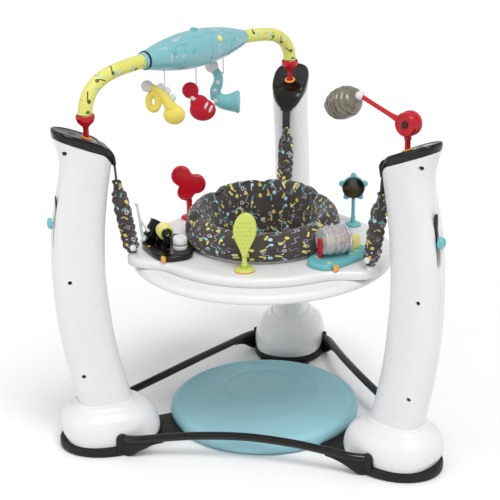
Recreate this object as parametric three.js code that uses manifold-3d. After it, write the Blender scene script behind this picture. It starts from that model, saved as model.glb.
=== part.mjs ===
// Free-standing baby bouncer: three curved towers stand on a round base and carry a tray on elastic
// straps. A swivelling fabric seat hangs in the tray, and toys stand on the tray and on the towers.
//
// Millimetres, +Z up. The origin is on the floor under the centre of the bounce mat. The rear tower
// stands at +Y, the left and right towers at 210 and 330 degrees, so the front of the seat faces -Y.
import * as THREE from 'three';
import { mergeVertices } from 'three/addons/utils/BufferGeometryUtils.js';
import Module from 'manifold-3d';

const wasm = await Module();
wasm.setup();

// ---------------------------------------------------------------- driving dimensions
const TOWERS = [
  { name: 'rear', angle: 90 },
  { name: 'left', angle: 210 },
  { name: 'right', angle: 330 },
];
const GAP = 0.3; // clearance between pieces that touch

// Height, inner radius, outer radius and half width of a tower, from the foot to the cap.
const TOWER_STATIONS = [
  [24, 322, 459, 50],
  [100, 341, 474, 48],
  [160, 357.5, 487, 46.5],
  [250, 377, 504, 46],
  [340, 388, 515, 46],
  [430, 394.5, 519, 45.5],
  [500, 393.5, 518, 45],
  [570, 388.5, 512, 44.5],
  [640, 379.5, 499, 44],
  [690, 370.5, 487, 44],
  [730, 366, 486, 45],
  [780, 366, 499, 46],
];
const TOWER_SIDES = 18;
const TOWER_SQUARENESS = 2.35;
const WALL_RATIO = 0.93; // inner outline of a tower shell as a share of the outer one
const SOCKET_RADIUS = 420; // towers' toy sockets, from the centre
const SOCKET_FLOOR_Z = 752;

const FOOT = { radius: 401, halfLength: 120, halfWidth: 95, plateHeight: 24, coverTop: 132 };
const MAT = { radius: 239, height: 42 };
const TONGUE = { inner: 205, outer: 330, halfWidth: 62, height: 12 };
const TUBE = { radius: 10.5, middleRadius: 259, middleZ: 64, endRadius: 420, endOffset: 66, endZ: 50 };

const TRAY = { plateau: 275, lobe: 63, topZ: 472, holeRadius: 165, lipRadius: 320, lipZ: 438 };
const ANCHOR = { radius: 326, z: 481 };
const SLEEVE = { topRadius: 356, topZ: 660, bottomZ: 482, halfWidth: 18, bore: 14.5 };
const SEAT = { ringRadius: 164, collarRadius: 187, collarZ: 478, frontRimZ: 540, rearRise: 34, bottomZ: 322 };

const STATION_RADIUS = 236; // centre of a toy station on the tray
const STATION_HEIGHT = 14;
const CHORD = SOCKET_RADIUS * Math.sqrt(3); // distance between two tower sockets
const CONSOLE = { start: 184, end: 543, z: 914, radius: 46, endRadius: 17 };
const ARCH_TUBE_RADIUS = 16.5;
const SPINNER_TURN = -25; // degrees from the tangent of the tray to the axle of the clear drum

// ---------------------------------------------------------------- helpers
const rad = (degrees) => THREE.MathUtils.degToRad(degrees);

/** A copy on the other side of the XZ plane, with its faces still pointing out. */
function mirroredInY(geometry) {
  const copy = geometry.index ? geometry.clone() : mergeVertices(geometry, 1e-3);
  copy.scale(1, -1, 1);
  const corners = copy.getIndex();
  for (let i = 0; i < corners.count; i += 3) {
    const first = corners.getX(i);
    corners.setX(i, corners.getX(i + 1));
    corners.setX(i + 1, first);
  }
  return copy;
}

/** Moves every vertex of a geometry by a function of its coordinates. */
function warp(geometry, move) {
  const position = geometry.getAttribute('position');
  const vertex = new THREE.Vector3();
  for (let i = 0; i < position.count; i += 1) {
    vertex.fromBufferAttribute(position, i);
    const moved = move(vertex.x, vertex.y, vertex.z);
    position.setXYZ(i, ...moved);
  }
  return geometry;
}

/** A closed geometry as a manifold solid. */
function solid(geometry) {
  const bare = geometry.clone();
  bare.deleteAttribute('normal');
  bare.deleteAttribute('uv');
  const merged = mergeVertices(bare, 1e-3);
  const mesh = new wasm.Mesh({
    numProp: 3,
    vertProperties: new Float32Array(merged.getAttribute('position').array),
    triVerts: new Uint32Array(merged.getIndex().array),
  });
  return new wasm.Manifold(mesh);
}

/** A manifold solid as a three.js geometry. */
function geometryOf(manifold) {
  const mesh = manifold.getMesh();
  const geometry = new THREE.BufferGeometry();
  geometry.setAttribute('position', new THREE.BufferAttribute(mesh.vertProperties, 3));
  geometry.setIndex(new THREE.BufferAttribute(mesh.triVerts, 1));
  return geometry;
}

const union = (...parts) => geometryOf(parts.map(solid).reduce((whole, part) => whole.add(part)));

function cut(geometry, ...tools) {
  return geometryOf(tools.map(solid).reduce((whole, tool) => whole.subtract(tool), solid(geometry)));
}

/** A box from its low and high corners. */
function block(low, high) {
  const size = high.map((value, i) => value - low[i]);
  const box = new THREE.BoxGeometry(...size);
  return box.translate(low[0] + size[0] / 2, low[1] + size[1] / 2, low[2] + size[2] / 2);
}

/** A solid turned about Z from an outline of [radius, z] points, given in either direction. */
function turned(points, segments = 24) {
  const profile = points.map(([r, z]) => new THREE.Vector2(r, z));
  if (THREE.ShapeUtils.isClockWise(profile)) profile.reverse();
  const closesOnAxis = profile[0].x === 0 && profile.at(-1).x === 0;
  if (!closesOnAxis) profile.push(profile[0].clone());
  return new THREE.LatheGeometry(profile, segments).rotateX(Math.PI / 2);
}

/** A rod between two points. */
function rod(from, to, radius, endRadius = radius, sides = 12) {
  const start = new THREE.Vector3(...from);
  const end = new THREE.Vector3(...to);
  const along = end.clone().sub(start);
  const bar = new THREE.CylinderGeometry(endRadius, radius, along.length(), sides);
  bar.applyQuaternion(new THREE.Quaternion().setFromUnitVectors(new THREE.Vector3(0, 1, 0), along.normalize()));
  const middle = start.add(end).multiplyScalar(0.5);
  return bar.translate(middle.x, middle.y, middle.z);
}

function circle(radius, sides) {
  const shape = new THREE.Shape();
  for (let i = 0; i < sides; i += 1) {
    const angle = (i / sides) * 2 * Math.PI;
    const point = [radius * Math.cos(angle), radius * Math.sin(angle)];
    if (i === 0) shape.moveTo(...point);
    else shape.lineTo(...point);
  }
  shape.closePath();
  return shape;
}

/** A round tube along a smooth curve through the points. */
function tube(points, radius, sides, steps) {
  const path = new THREE.CatmullRomCurve3(points.map((point) => new THREE.Vector3(...point)), false, 'centripetal');
  return new THREE.ExtrudeGeometry(circle(radius, sides), { steps, bevelEnabled: false, extrudePath: path });
}

/** A flat, rounded slab from an outline in XY, standing on z = 0. */
function slab(outline, height, { bevel = 3, perPoint = 2 } = {}) {
  const shape = new THREE.Shape();
  const points = outline.map(([x, y]) => new THREE.Vector2(x, y));
  shape.moveTo(points[0].x, points[0].y);
  shape.splineThru([...points.slice(1), points[0]]);
  const depth = height - 2 * bevel;
  const options = { depth, bevelSize: bevel, bevelThickness: bevel, bevelOffset: -bevel, bevelSegments: 2 };
  return new THREE.ExtrudeGeometry(shape, { ...options, curveSegments: perPoint }).translate(0, 0, bevel);
}

/** Point of a rounded square of half size 1 in this direction; a larger power is squarer. */
function squircle(angle, power) {
  const bulge = (value) => Math.sign(value) * Math.abs(value) ** (2 / power);
  return [bulge(Math.cos(angle)), bulge(Math.sin(angle))];
}

/** Points of a rounded oblong with the given half sizes. */
function oval(halfX, halfY, count = 16, power = 2.4) {
  return Array.from({ length: count }, (_, i) => {
    const [x, y] = squircle((i / count) * 2 * Math.PI, power);
    return [halfX * x, halfY * y];
  });
}

function material(color, roughness, metalness = 0) {
  return new THREE.MeshStandardMaterial({ color: new THREE.Color(...color), roughness, metalness });
}

const WHITE = material([0.86, 0.86, 0.85], 0.35);
const BLACK = material([0.03, 0.03, 0.03], 0.25);
const DARK = material([0.1, 0.1, 0.1], 0.5);
const TEAL = material([0.4, 0.72, 0.76], 0.35);
const MAT_TEAL = material([0.56, 0.76, 0.8], 0.55);
const RED = material([0.75, 0.06, 0.1], 0.3);
const YELLOW = material([0.9, 0.88, 0.35], 0.5);
const LIME = material([0.72, 0.82, 0.2], 0.4);
const SMOKE = material([0.5, 0.49, 0.44], 0.15);
const CLEAR = material([0.85, 0.87, 0.9], 0.1);
const FABRIC = material([0.2, 0.19, 0.19], 0.9);
const STEEL = material([0.6, 0.6, 0.62], 0.3, 1);
const CORD = material([0.85, 0.85, 0.85], 0.8);

function piece(parent, name, geometry, look) {
  const mesh = new THREE.Mesh(geometry, look);
  mesh.name = name;
  parent.add(mesh);
  return mesh;
}

/** A group whose X axis points outward from the centre at this angle, and whose origin is on it. */
function radialGroup(angle, distance = 0, z = 0) {
  const group = new THREE.Group();
  group.rotation.z = rad(angle);
  group.position.set(distance * Math.cos(rad(angle)), distance * Math.sin(rad(angle)), z);
  return group;
}

// ---------------------------------------------------------------- towers
const stationHeights = TOWER_STATIONS.map(([z]) => z);
const stationSizes = TOWER_STATIONS.flatMap(([, inner, outer, half]) => [(inner + outer) / 2, (outer - inner) / 2, half]);
const towerSection = new THREE.CubicInterpolant(stationHeights, stationSizes, 3);

/** Centre radius, half depth and half width of a tower at a height. */
function towerAt(z) {
  return Array.from(towerSection.evaluate(THREE.MathUtils.clamp(z, 24, 780)));
}

/** Height of the sloping top edge of a tower, rounded down towards the seat. */
function towerTopZ(radius) {
  const slope = 735 + 0.41 * (radius - 385);
  const rounding = radius < 396 ? 28 * ((396 - radius) / 30) ** 2 : 0;
  return slope - rounding;
}

/** Height where the wall at this share of the tower's half depth meets the cap. */
function shellTopZ(share) {
  let z = 760;
  for (let pass = 0; pass < 5; pass += 1) {
    const [centre, depth] = towerAt(z);
    z = towerTopZ(centre + share * depth) - 2;
  }
  return z;
}

/** Half of a hollow tower, parted on the radial plane; side is +1 or -1. */
function towerShell(side) {
  const outer = oval(1, 1, TOWER_SIDES, TOWER_SQUARENESS).slice(0, TOWER_SIDES / 2 + 1);
  const inner = outer.filter((_, i) => i % 3 === 0).map(([x, y]) => [x * WALL_RATIO, y * WALL_RATIO]).reverse();
  const section = new THREE.Shape([...outer, ...inner].map(([x, y]) => new THREE.Vector2(x, Math.max(y, 0))));
  const bar = new THREE.ExtrudeGeometry(section, { depth: 1, steps: 11, bevelEnabled: false });
  const bottom = FOOT.plateHeight + GAP;
  const shaped = warp(bar, (x, y, t) => {
    const z = THREE.MathUtils.lerp(bottom, shellTopZ(x), t);
    const [centre, depth, width] = towerAt(z);
    return [centre + x * depth, y * width + GAP / 2, z];
  });
  const slot = block([488, -7, 516], [540, 7, 640]);
  const half = cut(shaped, slot);
  return side > 0 ? half : mirroredInY(half);
}

/** Cap: a sloping black lid with a tongue down the seat side and a toy socket. */
function towerCap() {
  const [centre, depth, width] = towerAt(780);
  const thickness = 22;
  const outline = [[0, 0], [0.5, 0], [0.8, 0], [1, 0], [0.985, 0.6], [0.94, 1], [0.5, 1], [0, 1]];
  const disc = turned(outline, TOWER_SIDES).rotateZ(Math.PI / 2);
  const lid = warp(disc, (x, y, t) => {
    const share = Math.hypot(x, y) * 1.015;
    const [across, along] = squircle(Math.atan2(y, x), TOWER_SQUARENESS);
    const radius = centre + share * across * depth;
    return [radius, share * along * width, towerTopZ(radius) + GAP + t * (thickness - 4 * x ** 2)];
  });
  const side = [
    [356.5, 701], [358, 714], [363, 731], [374, 750], [388, 762],
    [397, 757], [394, 748], [381, 735], [371, 722.5], [365.8, 711], [364.8, 701],
  ].map(([x, z]) => new THREE.Vector2(x, z));
  const sheet = new THREE.ExtrudeGeometry(new THREE.Shape(side), { depth: 2, steps: 1, bevelEnabled: false });
  const tongue = warp(sheet.rotateX(Math.PI / 2).translate(0, 1, 0), (x, y, z) => {
    const halfWidth = THREE.MathUtils.lerp(14, 40, THREE.MathUtils.smoothstep(z, 701, 752));
    return [x, y * halfWidth, z];
  });
  const strapSlot = block([359.4, -11, 690], [363.6, 11, 726]);
  const toySocket = rod([SOCKET_RADIUS, 0, SOCKET_FLOOR_Z], [SOCKET_RADIUS, 0, 840], 7.5, 7.5, 16);
  return cut(union(lid, tongue), strapSlot, toySocket);
}

/** Teal thumb slider of the height adjuster, in the slot on the outside of a tower. */
function heightSlider() {
  const shank = block([489, -5.5, 566], [516, 5.5, 586]);
  const knob = rod([513, 0, 576], [523, 0, 576], 11.5, 9, 16);
  return union(shank, knob);
}

// ---------------------------------------------------------------- base
function boundedOval(scale, low, high, count = 20) {
  const shape = oval(FOOT.halfLength * scale, FOOT.halfWidth * scale, count, 2.3);
  const outline = new THREE.Shape(shape.map(([x, y]) => new THREE.Vector2(x, y)));
  const plate = new THREE.ExtrudeGeometry(outline, { depth: high - low, steps: 1, bevelEnabled: false });
  return plate.translate(FOOT.radius, 0, low);
}

/** The tongue that reaches under the mat; grow widens it to cut its pocket. */
function tongue(grow = 0) {
  const bar = new THREE.BoxGeometry(1, 1, 1, 4, 1, 1);
  return warp(bar, (x, y, z) => {
    const radius = THREE.MathUtils.lerp(TONGUE.outer, TONGUE.inner - grow, 0.5 - x);
    const flare = TONGUE.halfWidth + 14 * (0.5 - x) + grow;
    return [radius, y * 2 * flare, (z + 0.5) * (TONGUE.height + grow)];
  });
}

/** Position along a base tube, s from -1 to 1, in the frame whose X axis points at its middle. */
function basePath(s) {
  const foot = new THREE.Vector2(TUBE.endRadius, 0).rotateAround(new THREE.Vector2(), rad(60));
  const inward = new THREE.Vector2(0, -TUBE.endOffset).rotateAround(new THREE.Vector2(), rad(60));
  const end = foot.add(inward);
  const bow = s * s;
  const x = THREE.MathUtils.lerp(TUBE.middleRadius, end.x, bow);
  const z = THREE.MathUtils.lerp(TUBE.middleZ, TUBE.endZ, bow);
  return [x, end.y * s, z];
}

function baseTube() {
  const points = Array.from({ length: 13 }, (_, i) => basePath(-1 + i / 6));
  return tube(points, TUBE.radius, 8, 18);
}

/** Web under a tube, from the foot towards the middle; sign picks the tube on either side. */
function tubeWeb(sign) {
  const web = warp(new THREE.BoxGeometry(1, 1, 1, 8, 1, 1), (x, y, z) => {
    const s = THREE.MathUtils.lerp(0.9, 0.5, x + 0.5);
    const [px, py, pz] = basePath(s);
    const [ax, ay] = basePath(s - 0.01);
    const across = new THREE.Vector2(px - ax, py - ay).normalize();
    const top = pz - TUBE.radius - GAP;
    const low = THREE.MathUtils.lerp(0, top - 9, THREE.MathUtils.smoothstep(x + 0.5, 0.25, 1));
    return [px + across.y * y * 19, py - across.x * y * 19, z > 0 ? top : low];
  });
  // The path runs to the foot at +60 degrees, so turn it back to lie beside the foot on the X axis.
  web.rotateZ(rad(-60));
  return sign > 0 ? web : mirroredInY(web);
}

/** Black foot base: an oval plate, a tongue to the mat and two webs that carry the tubes. */
function footBase() {
  const plate = boundedOval(1.05, 0, FOOT.plateHeight);
  return union(plate, tongue(), tubeWeb(1), tubeWeb(-1));
}

/** White domed foot cover around the tower, with a slot on each side for a tube. */
function footCover() {
  const ratio = FOOT.halfWidth / FOOT.halfLength;
  const outer = [[118, 25], [120, 40], [114, 62], [100, 83], [80, 104], [71.5, FOOT.coverTop]];
  const inner = [[68.5, FOOT.coverTop], [76, 100], [95, 79], [109, 59], [112, 25]];
  const dome = warp(turned([...outer, ...inner], 24), (x, y, z) => [
    x + THREE.MathUtils.lerp(FOOT.radius - 3, towerAt(FOOT.coverTop)[0], (z - 25) / (FOOT.coverTop - 25)),
    y * ratio,
    z,
  ]);
  const slots = [-1, 1].map((side) => {
    const low = [TUBE.endRadius - 70, side > 0 ? 50 : -110, 20];
    const high = [TUBE.endRadius + 14, side > 0 ? 110 : -50, TUBE.endZ + TUBE.radius + 4];
    return block(low, high);
  });
  return cut(dome, ...slots);
}

/** Teal bounce mat, with a pocket underneath for each foot's tongue. */
function bounceMat() {
  const { radius: r, height: h } = MAT;
  const disc = turned([[0, 0], [r - 16, 0], [r - 4, 8], [r, 21], [r - 5, 34], [r - 16, h], [0, h - 2]], 36);
  const pockets = TOWERS.map(({ angle }) => tongue(0.5).translate(0, 0, -0.4).rotateZ(rad(angle)));
  return cut(disc, ...pockets);
}

// ---------------------------------------------------------------- suspension
function sleeveAxis(z) {
  const t = (SLEEVE.topZ - z) / (SLEEVE.topZ - SLEEVE.bottomZ);
  return THREE.MathUtils.lerp(SLEEVE.topRadius, ANCHOR.radius, t);
}

/** Leans a shape that was modelled upright on the Z axis so that it follows a sleeve. */
const lean = (geometry) => warp(geometry, (x, y, z) => [x + sleeveAxis(z), y, z]);

/** Gathered fabric sleeve around a spring, open at both ends. */
function springSleeve() {
  const { topZ, bottomZ, halfWidth: w, bore } = SLEEVE;
  const outer = [[w - 3, bottomZ], [w, bottomZ + 20], [w, topZ - 45], [12, topZ]];
  const inner = [[9, topZ], [bore, topZ - 40], [bore, bottomZ]];
  return lean(turned([...outer, ...inner], 16));
}

/** Steel extension spring inside a sleeve. */
function spring() {
  const turns = 6;
  const perTurn = 7;
  const bottom = SLEEVE.bottomZ + 5;
  const top = SLEEVE.topZ - 50;
  const points = Array.from({ length: turns * perTurn + 1 }, (_, i) => {
    const angle = (i / perTurn) * 2 * Math.PI;
    const z = THREE.MathUtils.lerp(bottom, top, i / (turns * perTurn));
    return [sleeveAxis(z) + 10.5 * Math.cos(angle), 10.5 * Math.sin(angle), z];
  });
  return tube(points, 1.6, 5, turns * perTurn);
}

/** Webbing strap from the slot in a cap's tongue to the top of the sleeve. */
function strap() {
  const top = 722;
  const bottom = SLEEVE.topZ + 1;
  return warp(new THREE.BoxGeometry(3, 20, 1, 1, 1, 4), (x, y, s) => {
    const z = THREE.MathUtils.lerp(bottom, top, s + 0.5);
    const radius = THREE.MathUtils.lerp(sleeveAxis(bottom), 361.5, THREE.MathUtils.smoothstep(z, bottom, 699));
    return [radius + x, y, z];
  });
}

// ---------------------------------------------------------------- tray
/** Plan radius of the tray top: a circle with a lobe towards each tower. */
function trayRadius(angle, reach = 1) {
  const lobe = Math.max(0, Math.cos(3 * (angle - Math.PI / 2))) ** 6;
  return TRAY.plateau + TRAY.lobe * lobe * reach;
}

/** White tray top with a seat hole, and an anchor boss on each lobe. */
function trayTop() {
  const z = TRAY.topZ;
  // The outline runs from 1 at the seat hole to 2 at the edge of the tray.
  const outline = [[1, z], [1.93, z], [2, z - 6], [2, z - 21], [1.96, z - 21], [1.94, z - 5], [1, z - 5]];
  const skin = turned(outline, 54);
  const shaped = warp(skin, (x, y, height) => {
    const angle = Math.atan2(y, x);
    const share = Math.hypot(x, y) - 1;
    const radius = THREE.MathUtils.lerp(TRAY.holeRadius, trayRadius(angle), share);
    return [radius * Math.cos(angle), radius * Math.sin(angle), height];
  });
  const bosses = TOWERS.map(({ angle }) => {
    const boss = turned([[0, z - 3], [10, z - 3], [10, ANCHOR.z - 3], [6, ANCHOR.z], [0, ANCHOR.z]], 12);
    return boss.translate(ANCHOR.radius, 0, 0).rotateZ(rad(angle));
  });
  return union(shaped, ...bosses);
}

/** White tray base: the rolled lip and the pan under the tray top. */
function trayBase() {
  const z = TRAY.topZ - 21 - GAP;
  const lip = TRAY.lipRadius;
  const upper = [[205, z - 1], [lip - 20, z], [lip - 5, z - 4], [lip, TRAY.lipZ]];
  const lower = [[lip - 3, 428], [lip - 16, 424], [255, z - 7], [205, z - 7]];
  return turned([...upper, ...lower], 44);
}

/** Ring that carries the seat fabric and turns in the tray's hole. */
function seatRing() {
  const z = TRAY.topZ;
  const r = SEAT.ringRadius;
  const outline = [[150, z - 14], [r, z - 14], [r, z + GAP], [176, z + GAP], [174, z + 4], [150, z + 4]];
  return turned(outline, 32);
}

/** Fabric seat: a padded collar on the ring, over a bucket with two leg holes. */
function seatFabric() {
  const { collarZ, frontRimZ: rim, bottomZ, collarRadius: wide } = SEAT;
  const outer = [[0, bottomZ], [62, bottomZ + 8], [112, bottomZ + 44], [143, 428], [147, collarZ]];
  const collar = [[168, 488], [wide - 3, 492], [wide, 505], [wide - 12, 529], [156, rim]];
  const inner = [[134, rim - 14], [131, 470], [119, 392], [68, 344], [0, 336]];
  const bucket = warp(turned([...outer, ...collar, ...inner], 32), (x, y, z) => {
    const share = THREE.MathUtils.clamp((z - collarZ) / (rim - collarZ), 0, 1);
    const rear = 0.5 + (0.5 * y) / Math.max(Math.hypot(x, y), 1e-6);
    return [x, y, z + SEAT.rearRise * share * rear ** 1.3];
  });
  const legs = [-1, 1].map((side) => rod([side * 40, -30, 430], [side * 84, -160, 352], 50, 54, 20));
  return cut(bucket, ...legs);
}

// ---------------------------------------------------------------- toys on the tray
/** Pick-shaped base plate of a toy station; widen is how much wider its +Y end is, as a share. */
function stationPlate(halfX, halfY, widen) {
  const outline = oval(halfX, halfY, 14, 2.1).map(([x, y]) => [x * (1 + (widen * y) / halfY), y]);
  return slab(outline, STATION_HEIGHT);
}

/** Left station: dish, barrel, snare drum, roller and a forked stick. */
function drumStation() {
  const group = radialGroup(210, STATION_RADIUS, TRAY.topZ + GAP);
  const barrel = cut(rod([34, -52, 22], [6, -66, 60], 17, 17, 18), block([-40, -120, -30], [90, 0, 7]));
  const [axleX, axleZ] = [8, 48];
  const posts = [-42, 34].map((y) => rod([axleX, y, 8], [axleX, y, axleZ + 5], 5, 4));
  const axle = rod([axleX, -42, axleZ], [axleX, 34, axleZ], 3);
  piece(group, 'drum_dish', union(stationPlate(56, 84, -0.32), barrel, ...posts, axle), BLACK);
  const snare = turned([[0, 0], [17, 0], [17, 30], [0, 30]], 20).translate(-18, 34, STATION_HEIGHT + GAP);
  piece(group, 'drum_snare', snare, WHITE);
  const profile = [[3.4, -29], [8, -29], [17, -22], [19, -8], [13, 0], [19, 9], [16, 22], [7, 28], [3.4, 28]];
  const beads = turned(profile, 18).rotateX(-Math.PI / 2).translate(axleX, -8, axleZ);
  piece(group, 'drum_roller', beads, YELLOW);
  const stem = rod([52, -42, 21], [62, -52, 108], 3.6, 4.6, 10);
  const branch = rod([60, -47, 78], [40, -34, 42], 3.4, 3.2, 10);
  const knuckle = new THREE.SphereGeometry(6.4, 12, 8).translate(52, -42, STATION_HEIGHT + 6.8);
  piece(group, 'drum_stick', union(stem, branch, knuckle), WHITE);
  return group;
}

/** Right station: plate, clear ribbed drum that spins, and a two-tone key. */
function spinnerStation() {
  const group = radialGroup(330, STATION_RADIUS - 5, TRAY.topZ + GAP);
  const turnOnPlate = (geometry) => geometry.rotateZ(rad(SPINNER_TURN)).translate(0, -14, 53);
  const ears = [-37, 37].map((y) => turnOnPlate(block([-8, y - 2.5, -46], [8, y + 2.5, 9])));
  const axle = turnOnPlate(rod([0, -37, 0], [0, 37, 0], 3.6));
  const keyAt = [-2, 58];
  const keyWell = slab(oval(17.6, 20.6, 10, 3.2), 20).translate(...keyAt, 8);
  piece(group, 'spinner_base', union(cut(stationPlate(48, 88, 0.25), keyWell), ...ears, axle), TEAL);
  const profile = [[4, -33], [28, -33], [34, -26], [32, -14], [35, 0], [32, 14], [34, 26], [27, 33], [4, 33]];
  const ribbed = turned(profile, 22).rotateX(Math.PI / 2);
  piece(group, 'spinner_drum', turnOnPlate(ribbed), CLEAR);
  piece(group, 'spinner_key', slab(oval(17, 20, 10, 3.2), 28).translate(...keyAt, 11), LIME);
  return group;
}

/** Mirror flower on a stalk, facing the front. */
function mirrorFlower() {
  const group = radialGroup(32, 244, TRAY.topZ + GAP);
  const petals = 5;
  const outline = Array.from({ length: petals * 5 }, (_, i) => {
    const angle = (i / (petals * 5)) * 2 * Math.PI;
    const reach = 30 + 8 * Math.max(0, Math.cos(petals * (angle - Math.PI / 2))) ** 1.5;
    return [reach * Math.cos(angle), reach * Math.sin(angle)];
  });
  const flower = slab(outline, 11, { bevel: 2, perPoint: 1 }).rotateX(Math.PI / 2).translate(0, 5.5, 100);
  const stalk = rod([0, 0, 5], [0, 0, 74], 5, 4, 12);
  const flange = turned([[0, 0], [20, 0], [18, 6], [0, 8]], 20);
  piece(group, 'mirror_flower', union(flower, stalk, flange).rotateZ(rad(-32 + 8)), TEAL);
  return group;
}

/** Flat leaf-shaped maraca on a flange at the front of the tray. */
function maraca() {
  const group = radialGroup(270, 222, TRAY.topZ + GAP);
  const left = [[-7, 36], [-12, 56], [-24, 80], [-27, 104], [-17, 130]];
  const right = [[3, 140], [20, 131], [27, 106], [22, 80], [12, 56], [7, 36]];
  const leaf = slab([...left, ...right], 16, { bevel: 3 }).rotateX(Math.PI / 2).translate(0, 8, 0);
  const neck = rod([0, 0, 4], [0, 0, 44], 7, 5.5, 12);
  const flange = turned([[0, 0], [24, 0], [21, 5], [0, 8]], 20);
  piece(group, 'maraca', union(leaf, neck, flange).rotateZ(rad(98)), LIME);
  return group;
}

/** Three-lobed red paddle beside the seat. */
function redPaddle() {
  const group = radialGroup(150, 244, TRAY.topZ + GAP);
  const lobes = [[-18, 113, 26], [19, 92, 25], [-8, 70, 22]].map(([x, z, r]) => {
    const disc = turned([[0, -9], [r - 5, -9], [r, -3], [r, 3], [r - 5, 9], [0, 9]], 16);
    return disc.rotateX(Math.PI / 2).translate(x, 0, z);
  });
  const stalk = rod([0, 0, 4], [-4, 0, 60], 8, 9, 12);
  const flange = turned([[0, 0], [22, 0], [19, 6], [0, 8]], 20);
  piece(group, 'red_paddle', union(...lobes, stalk, flange).rotateZ(rad(-150 + 8)), RED);
  return group;
}

// ---------------------------------------------------------------- toy arch
/** Red cup and post that plug an arch tube into a tower socket. */
function archCup() {
  const bottom = SOCKET_FLOOR_Z + 2;
  const post = [[0, bottom], [6.5, bottom], [6.5, 800], [7.5, 806], [21, 818], [23.5, 834], [20.5, 835]];
  return turned([...post, [17.5, 824], [0, 822]], 16);
}

const archLeft = [[0, 0, 826], [1, 0, 838], [7, 0, 856], [25, 0, 878], [60, 0, 898], [112, 0, 909], [182, 0, CONSOLE.z]];
const mirrored = (points) => points.map(([x, y, z]) => [CHORD - x, y, z]).reverse();

/** Teal spindle of the arch, lying along X. */
function archConsole() {
  const length = CONSOLE.end - CONSOLE.start;
  const steps = 10;
  const side = Array.from({ length: steps + 1 }, (_, i) => {
    const t = i / steps;
    const bulge = Math.sin(Math.PI * t) ** 0.85;
    return [CONSOLE.endRadius + (CONSOLE.radius - CONSOLE.endRadius) * bulge, t * length];
  });
  const spindle = turned([[0, 0], ...side, [0, length]], 20).rotateY(Math.PI / 2);
  const buttonWell = rod([length / 2, 0, 32], [length / 2, 0, 60], 10.5, 10.5, 18);
  return cut(spindle, buttonWell).translate(CONSOLE.start, 0, CONSOLE.z);
}

const PLUSH = [
  { name: 'horn', along: 258, hang: 42, look: YELLOW },
  { name: 'guitar', along: 367, hang: 42, look: RED },
  { name: 'sax', along: 466, hang: 42, look: TEAL },
];
const PLUSH_TURN = -52; // degrees from the arch to the plane of the plush toys, which face the front

/** Outlines of the plush toys in X and Z, below the point where the string is sewn on. */
const PLUSH_OUTLINES = {
  horn: [
    [0, -2], [14, -16], [34, -24], [50, -40], [46, -62], [28, -86], [2, -92], [-8, -78], [2, -56],
    [-10, -34], [-20, -30], [-18, -52], [-38, -62], [-52, -44], [-44, -20], [-58, -2], [-44, 12], [-26, 4],
  ],
  guitar: [
    [0, -2], [6, -20], [20, -32], [36, -44], [38, -66], [22, -90], [-4, -98], [-24, -84], [-30, -58],
    [-22, -40], [-36, -32], [-40, -12], [-26, 3], [-10, 4],
  ],
  sax: [
    [0, -2], [4, -26], [10, -48], [24, -40], [42, -48], [48, -76], [34, -98], [10, -94], [-18, -88],
    [-32, -66], [-30, -36], [-24, -12], [-38, 4], [-32, 24], [-15, 17],
  ],
};

function consoleRadiusAt(along) {
  const t = (along - CONSOLE.start) / (CONSOLE.end - CONSOLE.start);
  return CONSOLE.endRadius + (CONSOLE.radius - CONSOLE.endRadius) * Math.sin(Math.PI * t) ** 0.85;
}

/** Adds each plush toy and its string, hanging below the console. */
function plushToys(group) {
  PLUSH.forEach(({ name, along, hang, look }) => {
    const top = CONSOLE.z - consoleRadiusAt(along) - GAP - 0.4;
    const toy = slab(PLUSH_OUTLINES[name], 26, { bevel: 4 });
    toy.rotateX(Math.PI / 2).translate(0, 13, 0).rotateZ(rad(PLUSH_TURN));
    piece(group, `plush_${name}`, toy.translate(along, 0, top - hang), look);
    piece(group, `string_${name}`, rod([along, 0, top - hang + 1.5], [along, 0, top], 1.4, 1.4, 8), CORD);
  });
}

function arch() {
  const group = radialGroup(60);
  const foot = new THREE.Vector2(SOCKET_RADIUS, 0).rotateAround(new THREE.Vector2(), rad(210));
  group.position.set(foot.x, foot.y, 0);
  piece(group, 'arch_cup_left', archCup(), RED);
  piece(group, 'arch_cup_right', archCup().translate(CHORD, 0, 0), RED);
  piece(group, 'arch_tube_left', tube(archLeft, ARCH_TUBE_RADIUS, 10, 16), YELLOW);
  piece(group, 'arch_tube_right', tube(mirrored(archLeft), ARCH_TUBE_RADIUS, 10, 16), YELLOW);
  piece(group, 'arch_console', archConsole(), TEAL);
  const middle = (CONSOLE.start + CONSOLE.end) / 2;
  const button = turned([[0, 36], [9.5, 36], [9.5, 47], [6, 50], [0, 51]], 18).translate(middle, 0, CONSOLE.z);
  piece(group, 'console_button', button, TEAL);
  plushToys(group);
  return group;
}

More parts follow.
